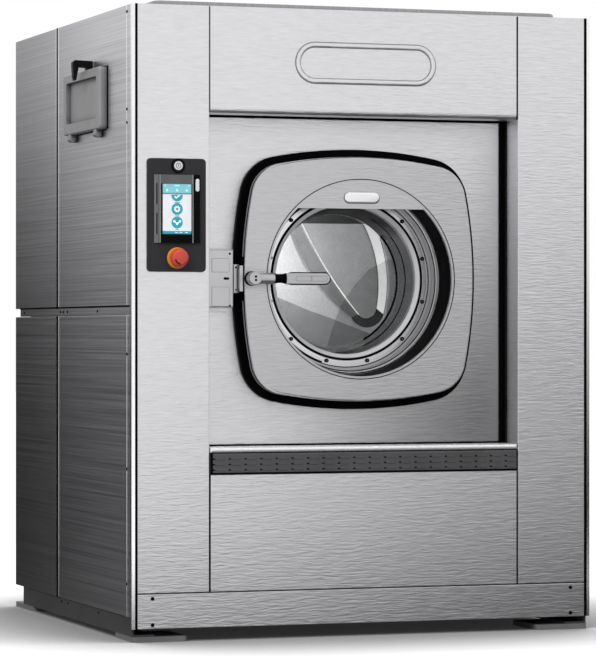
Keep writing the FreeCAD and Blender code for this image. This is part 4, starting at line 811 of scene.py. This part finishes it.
def lock_details():
    """Raised pads, slot, screws and nose plate of the lock housing."""
    a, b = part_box("lock_housing")
    face, x0, x1 = a.y, a.x + 0.014, a.x + 0.068
    w, r, line = x1 - x0, 0.003, 0.001
    pads, edges, marks, nose = meshes(4)
    for z0, z1 in ((DOOR_Z + 0.020, DOOR_Z + 0.060), (a.z + 0.004, DOOR_Z - 0.026)):
        h = z1 - z0
        place = face_place((x0 + x1) / 2, face, (z0 + z1) / 2)
        pad = round_rect(w, h, r)
        outline_plate(pads, pad, place, 0.0, 0.0012)
        band(edges, round_rect(w + 2 * line, h + 2 * line, r + line), pad, place, 0.0, 0.0006)
    outline_plate(marks, oval(0.018, 0.0075), face_place(x1 - 0.0085, face, DOOR_Z), 0.0, 0.0007)
    for z in (DOOR_Z + 0.075, a.z + 0.005):
        screw(marks, (x1 + 0.0025, face, z), OUT, 0.0035)
    tip, tall, proud = b.x - 0.0050, 0.040, face - 0.0015
    block(nose, (b.x - 0.0165, proud, DOOR_Z - tall), (tip, face + 0.001, DOOR_Z + tall), 0.0008)
    for z in (-0.034, 0.034):
        screw(marks, (b.x - 0.0107, proud, DOOR_Z + z), OUT, 0.003)
    tall += line
    block(marks, (tip, face - 0.001, DOOR_Z - tall), (b.x + 0.0005, face + 0.002, DOOR_Z + tall), 0.0003)
    piece("lock_pads", pads, M["lock_housing"])
    piece("lock_pad_edges", edges, LINE)
    piece("lock_nose_plate", nose, STRIKE)
    dark_mark_and_shade("lock_marks", marks)


def strike_strip():
    """Strike strip on the latch edge of the door, just outside the lip."""
    edge, front, tall = lo("door_face").x - LIP, DOOR_FACE + 0.003, 0.039
    x0, x1 = edge - 0.0128, edge - 0.0035
    bm = bmesh.new()
    block(bm, (x0, front, DOOR_Z - tall), (x1, front + 0.015, DOOR_Z + tall), 0.0008)
    for z in (-0.033, 0.033):
        screw(bm, ((x0 + x1) / 2, front, DOOR_Z + z), OUT, 0.0026)
    piece("strike_strip", bm, STRIKE, "door")


def handle_details():
    """Dots on the boss, fine outline of the lever, a dark rim round the lever and a dark collar under the
    boss that paint their shadows.
    """
    hub, hub_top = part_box("handle_hub")
    lever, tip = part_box("handle_lever")
    radius = (hub_top.z - hub.z) / 2
    boss_x, dot, raised = hub.x + radius, 0.0038, 0.0005
    dots, marks, rim, collar = meshes(4)
    for dz in (-0.0052, 0.0052):
        at = frame_at((boss_x, hub.y, DOOR_Z + dz), OUT)
        lathe(dots, [(dot, -0.0004), (dot, raised), (0, raised + 0.0001)], at, 12)
    dark_mark_and_shade("handle_dots", dots, "door_handle")
    x0, x1, h, line, proud = lever.x + 0.030, tip.x - 0.009, 0.016, 0.0009, 0.0004
    w = x1 - x0
    place = face_place((x0 + x1) / 2, lever.y, DOOR_Z)
    band(marks, oval(w, h), oval(w - 2 * line, h - 2 * line), place, 0.0, proud)
    split = 0.01 * w - line / 2
    outline_plate(marks, [(split + x, y) for x, y in rect(line, h)], place, 0.0, proud)
    dark_mark_and_shade("handle_marks", marks, "door_handle", mat=SMOKE)
    # painted shadow: a dark rim just behind the edge of the lever
    full, tall = tip.x - lever.x, tip.z - lever.z
    place = face_place(middle("handle_lever", X), lever.y, DOOR_Z)
    band(rim, oval(full + 0.005, tall + 0.005), oval(full - 0.001, tall - 0.001), place, -0.0050, -0.0020)
    dark_mark_and_shade("handle_rim_painted_shadow", rim, "door_handle")
    # painted shade: a dark collar round the foot of the boss
    inner, height = radius - 0.001, 0.012
    lathe(collar, [(inner, 0), (radius + 0.0022, 0), (radius + 0.0014, height), (inner, height)],
          frame_at((boss_x, DOOR_FACE - 0.0008, DOOR_Z), OUT), 40, True)
    dark_mark_and_shade("handle_collar_painted_shadow", collar, "door_handle", True)


# Control panel: display picture, cover bands, button and stop

TEAL = lit("display_teal", (0.016, 0.42, 0.51), 1.0)
TEAL_PALE = lit("display_teal_pale", (0.27, 0.67, 0.75), 1.0)
PAGE = lit("display_page", (0.86, 0.87, 0.90), 1.1)
PALE = lit("display_pale", (0.95, 0.96, 0.97), 1.1)
GREY = lit("display_grey", (0.42, 0.44, 0.47), 0.55)
BAND = plastic("cover_band_grey", (0.115, 0.115, 0.12), 0.35, specular=0.4)
BAND_PALE = plastic("cover_line_grey", (0.30, 0.30, 0.31), 0.35, specular=0.4)
BAND_BLACK = plastic("cover_black", (0.002, 0.002, 0.0022), 0.25, specular=0.05)
LAYER = 0.0002


def gear(r, teeth=8):
    """A ring of blunt teeth, four points to a tooth."""
    steps = teeth * 4
    turns = [(TURN * (i + 0.5) / steps, r if i % 4 in (1, 2) else 0.76 * r) for i in range(steps)]
    return [(k * math.cos(a), k * math.sin(a)) for a, k in turns]


def drop(r, steps=14):
    """A water drop: a round foot and a pointed top."""
    angles = [math.radians(150 + 240 * i / steps) for i in range(steps + 1)]
    return [(0, 1.6 * r)] + [(r * math.cos(a), r * math.sin(a)) for a in angles]


def display():
    """Picture of the touch display in thin layers: a head bar, a page with three round signs, a foot bar."""
    a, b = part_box("display_module")
    x0, x1 = a.x + 0.0066, b.x - 0.0075
    xc, w = (x0 + x1) / 2, x1 - x0
    page_z0, page_z1 = a.z + 0.0177, b.z - 0.040
    head_z0, head_z1, foot_z0 = page_z1 + 0.0042, b.z - 0.009, page_z0 - 0.009
    drops_z, dashes_z, foot_z = (head_z0 + head_z1) / 2 - 0.006, head_z1 - 0.005, (page_z0 + foot_z0) / 2
    top, mid, low = page_z1 - 0.0035, page_z1 - 0.0438, page_z1 - 0.084
    r, cut = 0.0178, 0.0035

    def layer(name, mat, shapes):
        """Shapes are (outline, x from the middle, z, how many layers lie under it)."""
        bm = bmesh.new()
        for outline, dx, z, under in shapes:
            outline_plate(bm, outline, face_place(xc + dx, a.y, z), LAYER * under, LAYER * (under + 1))
        piece(name, bm, mat)

    def bar(z0, z1):
        return rect(w, z1 - z0), 0, (z0 + z1) / 2, 1

    layer("display_page", PAGE, [bar(page_z0, page_z1)])
    layer("display_bar", TEAL_PALE, [bar(head_z0, head_z1)])
    bowl = sorted((p for p in circle(r, 48) if p[1] <= cut), key=lambda p: math.atan2(p[0], -p[1]))
    layer("display_teal", TEAL, [bar(foot_z0, page_z0), (bowl, 0, top, 2), (circle(r, 28), 0, mid, 2),
                                 (circle(r, 28), 0, low, 2)])
    tick = [(-0.009, -0.004), (-0.003, -0.010), (0.010, 0.000), (0.004, 0.002), (-0.002, -0.005),
            (-0.006, -0.001)]
    marks = [(tick, 0, top, 3), (gear(0.0105), 0, mid, 3)]
    for way in (-1, 1):
        stroke = [(0, -0.005), (0, -0.003), (way * 0.009, 0.0045), (way * 0.009, 0.0025)]
        marks.append((stroke[::-way], 0, low, 3))
    for outline, z, places in ((circle(0.0036, 14), low + 0.0035, (-0.009, 0.009)),
                               (circle(0.0036, 14), low - 0.004, (0,)),
                               (drop(0.0030), drops_z, (-0.031, 0, 0.030)),
                               (round_rect(0.016, 0.0022, 0.001), dashes_z, (0,)),
                               (round_rect(0.004, 0.0028, 0.001), dashes_z, (-0.037, 0.037)),
                               (round_rect(0.009, 0.0018, 0.0008), foot_z, (-0.002, 0.012, 0.029))):
        marks += [(outline, dx, z, 3) for dx in places]
    layer("display_marks", PALE, marks)
    captions = ((0.017, top - 0.0212), (0.014, mid - 0.0205), (0.011, low - 0.0205))
    layer("display_grey", GREY, [(circle(0.0042, 18), 0, mid, 4), bar(page_z1, head_z0)]
          + [(round_rect(wide, 0.0026, 0.0012), 0, z, 3) for wide, z in captions])


def cover_bands():
    """Printed bands and edge lines on the front of the hinged cover."""
    a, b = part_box("screen_cover")
    low, top = a.z, b.z
    left, pale, inner = a.x + 0.0022, a.x + 0.0085, a.x + 0.0115
    end, black = b.x - 0.0234, b.x - 0.0204
    for name, mat, slot, *boxes in (
            ("cover_bands_grey", BAND, "hinge_grey", (left, pale, low, top), (inner, end, top - 0.0265, top)),
            ("cover_lines_pale", BAND_PALE, "hinge_grey", (pale, inner, low, top), (end, black, low, top)),
            ("cover_bands_black", BAND_BLACK, "screen", (black, b.x, low, top),
             (inner, end, low, low + 0.026))):
        bm = bmesh.new()
        for x0, x1, z0, z1 in boxes:
            block(bm, (x0, a.y - 0.0004, z0), (x1, a.y + 0.0002, z1), 0.00015)
        piece(name, bm, mat, "cover")


def button_and_stop():
    """Ring and sign of the push button, turning arrows on the stop."""
    a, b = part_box("push_button")
    x, z, r = middle("push_button", X), middle("push_button", Z), (b.x - a.x) / 2
    inner, outer, sunk, proud = r + 0.0006, r + 0.0046, -0.0005, 0.0016
    ring, mark, arrows = meshes(3)
    lathe(ring, [(inner, sunk), (outer, sunk), (outer, 0.0008), (r + 0.0036, proud), (inner, proud)],
          frame_at((x, lo("control_panel").y, z), OUT), 36, True)
    dark_mark_and_shade("button_ring", ring, smooth=True)
    at = face_place(x, a.y, z)
    band(mark, circle(0.0085, 28), circle(0.0066, 28), at, 0.0, 0.0004)
    stroke = [(sx, sy + 0.001) for sx, sy in round_rect(0.0022, 0.0085, 0.0009)]
    outline_plate(mark, stroke, at, 0.0, 0.0005)
    dark_mark_and_shade("button_mark", mark, "button", mat=SMOKE)
    head = face_place(middle("stop_head", X), lo("stop_head").y, middle("stop_head", Z))
    for turn in (205, 222, 239, 256):
        at = head @ Matrix.Rotation(math.radians(turn), 4, "Z") @ Matrix.Translation((0.0185, 0, 0))
        outline_plate(arrows, [(-0.0026, -0.0024), (0.0022, -0.0024), (0.0, 0.0024)], at, -0.0030, 0.0004)
    piece("stop_arrows", arrows, BLACK_MARK_AND_SHADE, "stop_mushroom")


# Door window: seam, badge plate, tunnel rings, bolt sockets, and the lines, painted highlights and painted
# shade of the glass

BOLTS, BOLT_R, BOLT_PROUD = 12, 0.258, 0.004
CLAMP = lo("glass_ring").y + BOLT_PROUD
CLAMP_R = 0.241
FLOOR_Y = CLAMP + 0.120
CROWN_Y = FLOOR_Y + 0.015
FLOOR_R = 0.206
TINT_R = 0.2055


def door_ring(name, section, mat):
    """Ring about the door axis from a closed section of (radius, y) points."""
    bm = bmesh.new()
    lathe(bm, [(r, -y) for r, y in section], face_place(0, 0, DOOR_Z), 120, True)
    shell(name, bm, mat, True)


def flat_ring(name, r0, r1, y, mat=BLACK_MARK_AND_SHADE, thick=0.0006):
    door_ring(name, [(r0, y), (r1, y), (r1, y + thick), (r0, y + thick)], mat)


def window_rings():
    """Seam and lip of the window hole, dark steps of the tunnel, border and gasket of the clamp ring."""
    face = lo("window_plate").y + 0.003
    front, back = face - 0.0006, face + 0.010
    flat_ring("window_seam", 0.3036, 0.3064, face - 0.0004)
    door_ring("window_lip", [(0.2965, back), (0.2985, front), (0.3005, front), (0.2995, back)],
              M["door_face"])
    tunnel = lo("tunnel_rings").y
    mouth, bend, end = hi("window_plate").y + 0.0005, tunnel - 0.0005, tunnel + 0.025
    door_ring("tunnel_liner", [(0.2958, mouth), (0.2912, bend), (0.2905, end), (0.2915, end), (0.2919, bend),
                               (0.2968, mouth)], BLACK_MARK_AND_SHADE)
    for name, r, depth in (("tunnel_line_a", 0.2862, 0.0257), ("tunnel_line_b", 0.2801, 0.0477)):
        flat_ring(name, r, r + 0.0036, tunnel + depth)
        flat_ring(name + "_edge", r + 0.0037, r + 0.0054, tunnel + depth, POLISHED)
    flat_ring("clamp_joint", 0.2682, 0.2712, CLAMP - 0.0005)
    flat_ring("clamp_border", 0.2712, 0.2792, CLAMP - 0.0004, M["tunnel_rings"])
    flat_ring("clamp_gasket", CLAMP_R, 0.2495, CLAMP - 0.0010, thick=0.0012)
    bezel = ((0.2418, -0.0010), (0.2400, -0.0018), (0.2330, 0.0030), (0.2296, 0.0085), (0.2306, 0.0090),
             (0.2418, 0.0010))
    # the bezel is steel that glows faintly: painted light
    door_ring("glass_bezel", [(r, CLAMP + y) for r, y in bezel],
              lit("bezel_painted_glow", (0.50, 0.50, 0.515), 0.35))


def bolt_sockets():
    """Dark bolt heads on the clamp ring, each with a paler drive."""
    r, flat_h, drive = 0.0062, 0.0002, 0.0022
    heads, drives = meshes(2)
    for x, z in circle(BOLT_R, 2 * BOLTS)[1::2]:
        at = face_place(x, CLAMP - BOLT_PROUD, DOOR_Z + z)
        lathe(heads, [(r, -0.0035), (r, flat_h), (0.0050, 0.0006), (0.0048, flat_h), (0, flat_h)], at, 20)
        lathe(drives, [(drive, flat_h), (drive, 0.0008), (0.0016, 0.0010), (0, 0.0008)], at, 16)
    dark_mark_and_shade("bolt_heads", heads, "door", True)
    piece("bolt_drives", drives, SMOKE, "door", True)


def badge_plate():
    """Bare raised plate above the window, with a dark rim round it that paints its shadow."""
    w, h, up, rim_w = 0.112, 0.032, 0.249, 0.002
    face = lo("window_plate").y
    at = face_place(0, face, DOOR_Z + up)
    plate, rim = meshes(2)
    levels = ((0.0, 0.0), (0.0, 0.0012), (0.0022, 0.0030), (0.0042, 0.0034))
    rows = [row_at(plate, oval(w - 2 * inset, h - 2 * inset), at, raised) for inset, raised in levels]
    loft(plate, rows)
    plate.faces.new(rows[-1])
    badge = turned_steel("badge_satin", (0.90, 0.90, 0.91), 0.34)
    piece("badge_plate", plate, badge, "door", True)
    band(rim, oval(w + 2 * rim_w, h + 2 * rim_w), oval(w, h),
         face_place(0.0006, face + 0.003, DOOR_Z + up - 0.001), -0.0002, 0.0010)
    dark_mark_and_shade("badge_rim_painted_shadow", rim, "door", mat=SMOKE)


# Outline of the tongue on the glass, as shares of the clamp ring's radius: three arcs through seven points
FOOT = ((-0.63, 0.93), (-0.34, 0.14), (0.24, -0.48), (0.48, -0.61), (0.69, -0.44), (0.73, 0.15),
        (0.41, 0.98))
CROWN = ((-0.52, 0.95), (-0.19, 0.31), (0.36, -0.44), (0.47, -0.49), (0.61, -0.36), (0.62, 0.17),
         (0.26, 0.98))

# Edges of the films that paint dark reflections on the glass, in the same shares; each keeps what is on its
# right
TOP_SHADE = ((0.43, 0.735), (-0.43, 0.735))
LOW_SHADE = ((-0.825, -0.20), (-0.596, -0.29), (-0.324, -0.397), (-0.049, -0.488), (0.216, -0.588),
             (0.50, -0.69))
ARC_SHADE = ((-0.09, -0.847), (-0.033, -0.643), (0.098, -0.315), (0.303, -0.04), (0.479, 0.139),
             (0.712, 0.264), (0.80, 0.28))


def on_door(points, y):
    return [(x, y, DOOR_Z + z) for x, z in points]


def in_metres(shares):
    return [(CLAMP_R * x, CLAMP_R * z) for x, z in shares]


def within(shares, reach):
    """Points of the outlines in metres, drawn back to the round end of the bowl."""
    return [(x * k, z * k) for x, z in in_metres(shares) for k in [min(1.0, reach / math.hypot(x, z))]]


def tongue_line(name, outline, first, y, radius, mat):
    """Bead along one flank of the tongue, kept on the flat end of the bowl."""
    pts = in_metres(arc3(*outline[first:first + 3], 28))
    bm = bmesh.new()
    tube(bm, on_door([p for p in pts if math.hypot(*p) < FLOOR_R], y), radius)
    piece(name, bm, mat, "door", True)


def wall_line(name, r, y, radius, low, high, steps=60):
    """Dark line about the door axis between two angles."""
    angles = [math.radians(low + (high - low) * i / steps) for i in range(steps + 1)]
    bm = bmesh.new()
    tube(bm, on_door([(r * math.cos(a), r * math.sin(a)) for a in angles], y), radius)
    dark_mark_and_shade(name, bm, "door", True)


def flank(name, first, mat):
    """Thin skin over one sloping side of the tongue, from its foot line to its crown line."""
    y_foot, y_crown, thick = FLOOR_Y - 0.0012, CROWN_Y - 0.0012, 0.0006
    foot, crown = [within(arc3(*line[first:first + 3], 36), FLOOR_R) for line in (FOOT, CROWN)]
    edges = (on_door(foot, y_foot), on_door(crown, y_crown), on_door(crown, y_crown + thick),
             on_door(foot, y_foot + thick))
    bm = bmesh.new()
    loft(bm, [[bm.verts.new(p) for p in corners] for corners in zip(*edges)], caps=True)
    shell(name, bm, mat, True)


def painted_shade(name, outline, y, mat):
    """Film of painted shade on the flat end of the bowl."""
    bm = bmesh.new()
    outline_plate(bm, outline, face_place(0, y, DOOR_Z), 0.0, 0.0003)
    shell(name, bm, mat)


def cut_by(shares, clear=0.01):
    """Outline of the part of the bowl's round end to the right of a line that starts and ends on its rim."""
    line = in_metres(shares)

    def turned(p):
        return (math.atan2(line[-1][1], line[-1][0]) - math.atan2(p[1], p[0])) % TURN

    inside = [p for p in circle(TINT_R, 72) if clear < turned(p) < turned(line[0]) - clear]
    return line + sorted(inside, key=turned)


def glass_lines():
    """Edges and slopes of the tongue, with painted highlight, painted reflection and painted shade; films of
    painted shade for the darker parts of the glass; dark lines of the bowl's wall; painted shadow on the
    clamp ring.
    """
    foot, crown = FLOOR_Y - 0.0012, CROWN_Y - 0.0012
    # a glowing bead on the tongue's left edge: painted highlight
    bright = lit("glass_edge_painted_highlight", (0.95, 0.95, 0.96), 0.8)
    tongue_line("tongue_edge_left", CROWN, 0, CROWN_Y - 0.0046, 0.0016, bright)
    # grey and dark films on the left and lower slopes paint shade; the glowing right slope paints a white
    # reflection
    flank("tongue_bevel_left", 0, shade_film("glass_bevel_painted_shade", 0.55))
    flank("tongue_bevel_low", 2, shade_film("glass_bevel_painted_dark_shade", 0.20))
    flank("tongue_bevel_right", 4, lit("glass_bevel_painted_reflection", (0.90, 0.90, 0.91), 0.50))
    # films of painted dark reflections: the band at the top and the darker parts low and to the right
    for part, shade, out, through in (("top", TOP_SHADE, 0.0016, 0.16), ("low", LOW_SHADE, 0.0024, 0.58),
                                      ("arc", ARC_SHADE, 0.0032, 0.74)):
        name = "glass_painted_shade_" + part
        painted_shade(name, cut_by(shade), FLOOR_Y - out, shade_film(name, through))
    # a grey film over the tongue's face: painted shade
    face = [p for k in (0, 2, 4) for p in arc3(*CROWN[k:k + 3], 24)[:-1]]
    painted_shade("tongue_painted_shade", within(face, TINT_R)[::-1], CROWN_Y - 0.0016, shade_film("glass_painted_shade_face", 0.80))
    # a grey film on the bowl's wall, darker toward the top: painted shade
    wall = ((0.2056, 0.0034), (0.2090, 0.0060), (0.2268, 0.100), (0.2264, 0.100), (0.2086, 0.0062),
            (0.2056, 0.0038))
    shaded = shade_film("glass_painted_shade_wall", 0.55, (DOOR_Z + 0.12, DOOR_Z + 0.19, 0.5))
    door_ring("bowl_wall_painted_shade", [(r, FLOOR_Y - out) for r, out in wall], shaded)
    tongue_line("tongue_edge_right", CROWN, 4, crown, 0.0012, SMOKE)
    tongue_line("tongue_foot_right", FOOT, 4, foot, 0.0012, SMOKE)
    wall_line("bowl_line_deep", 0.2085, FLOOR_Y - 0.0060, 0.0032, -62, 42)
    wall_line("bowl_line_mid", 0.2180, FLOOR_Y - 0.055, 0.0018, -70, 62)
    # painted shadow of the window's edge on the clamp ring
    wall_line("clamp_shade", 0.2660, CLAMP, 0.0022, 108, 252)


for build in (field_rim_painted_shade, panel_seams, pillar_caps, grille_lips, hatch_gap_shadow, door_lip, corner_trims,
              side_seams, cladding_screws, lock_details, strike_strip, handle_details, display, cover_bands,
              button_and_stop, window_rings, bolt_sockets, badge_plate, glass_lines):
    build()


# Stage, light and camera

def quad(name, corners, mat):
    bm = bmesh.new()
    bm.faces.new([bm.verts.new(c) for c in corners])
    obj = new_object(name, bm, mat)
    return obj


def upright(start, end, top):
    return [(*start, 0.0), (*end, 0.0), (*end, top), (*start, top)]


def flat(x0, x1, y0, y1, z=0.0):
    return [(x0, y0, z), (x1, y0, z), (x1, y1, z), (x0, y1, z)]


def floor_material():
    """White floor: what camera, metal and glass see is lifted to white, except close round the foot, where an
    occlusion ramp keeps the lift low and paints the machine's shadow.
    """
    m = Mat("floor_white", (0.32, 0.32, 0.325), 0.8)
    m.base(m.shades(m.noise(0.8), 0.98, 1.02))
    # painted shadow: ambient occlusion dims the lift near the machine
    near = m.node("AmbientOcclusion", Distance=0.8)
    near.samples = 16
    lift = m.ramp(near.outputs["AO"], (0.42, grey(0.02)), (0.62, grey(0.12)), (0.80, grey(0.46)),
                  (0.97, grey(1)))
    glow = m.node("Emission", Color=lift, Strength=m.mul(m.seen(), 0.92))
    both = m.node("AddShader")
    m.put(both.inputs[0], m.bsdf.outputs[0])
    m.put(both.inputs[1], glow.outputs[0])
    m.surface(both)
    return m.mat


def card(name, corners, fades, most=1.0):
    """Black card that only reflections see. Each fade (axis, clear, full) thins it out along one axis."""
    m = Mat(name, grey(0.02), 0.9)
    m.base(m.shades(m.noise(1.5, 2.0), 0.95, 1.05))
    axes = m.axes()
    cover = most
    for axis, clear, full in fades:
        cover = m.mul(m.ease(axes[axis], clear, full), cover)
    m.surface(m.mix(cover, m.node("BsdfTransparent"), m.bsdf))
    obj = quad(name, corners, m.mat)
    obj.visible_camera = obj.visible_diffuse = obj.visible_shadow = obj.visible_transmission = False


ON_FLOOR, ABOVE = 0.004, 0.006
NEAR_FRONT, NEAR_LEFT = FRONT - 0.02, LEFT - 0.02
quad("floor", flat(-30, 30, -30, 40), floor_material())
card("card_front", upright((0.2, -3.3), (5.0, -2.5), 2.6), [(Z, 1.7, 0.2), (X, 0.2, 1.5)])
card("card_front_floor", flat(-1.0, 5.0, -3.2, NEAR_FRONT, ON_FLOOR), [(X, -1.0, 1.0), (Y, -2.8, -1.1)])
card("card_front_foot", flat(-4.0, 5.0, -3.6, NEAR_FRONT, ABOVE), [(Y, -3.6, -1.2)], most=0.80)
card("card_left_far", upright((-0.6, 4.6), (-4.5, 2.2), 2.8), [(Z, 2.3, 0.6)])
card("card_left_near", upright((-0.77, 1.7), (-1.6, 1.9), 2.4), [(Z, 2.6, 0.9)], most=0.8)
card("card_left_floor", flat(-4.5, NEAR_LEFT, -1.2, 4.6, ON_FLOOR), [(Y, -1.2, -0.2)])

ROOM_LIGHT = 0.42
world = bpy.data.worlds.new("studio")
scene.world = world
world.use_nodes = True
room = Nodes(world.node_tree)
back = world.node_tree.nodes["Background"].inputs
room.put(back["Color"], (1, 1, 1, 1))
room.put(back["Strength"], room.level(room.seen(), ROOM_LIGHT, 1.0))


def soft_light(name, place, target, size, power):
    """Rectangular lamp that lights the scene without being seen in it."""
    data = bpy.data.lights.new(name, "AREA")
    data.shape = "RECTANGLE"
    data.size, data.size_y = size
    data.energy = power
    obj = placed(name, data)
    obj.location = place
    obj.rotation_euler = (Vector(target) - Vector(place)).to_track_quat("-Z", "Y").to_euler()
    obj.visible_camera = obj.visible_glossy = obj.visible_transmission = False


soft_light("key", (-4.2, -5.0, 4.6), (0, 0, 0.9), (3.5, 3.0), 240)
soft_light("top", (0.3, -0.5, 5.2), (0, 0, 0), (4.0, 4.0), 100)
soft_light("drum", (-0.02, 0.08, 1.20), (0.02, 0.38, 1.12), (0.10, 0.10), 1.95)

EYE, HEADING, LENS = (-3.4894, -10.1333, 0.92065), -19.12, 178.73
cam = bpy.data.cameras.new("camera")
cam.sensor_fit = "AUTO"
cam.sensor_width = 36.0
cam.lens = LENS
cam.clip_end = 100.0
cam_obj = placed("camera", cam)
cam_obj.location = EYE
cam_obj.rotation_euler = (math.radians(90), 0, math.radians(HEADING))
scene.camera = cam_obj
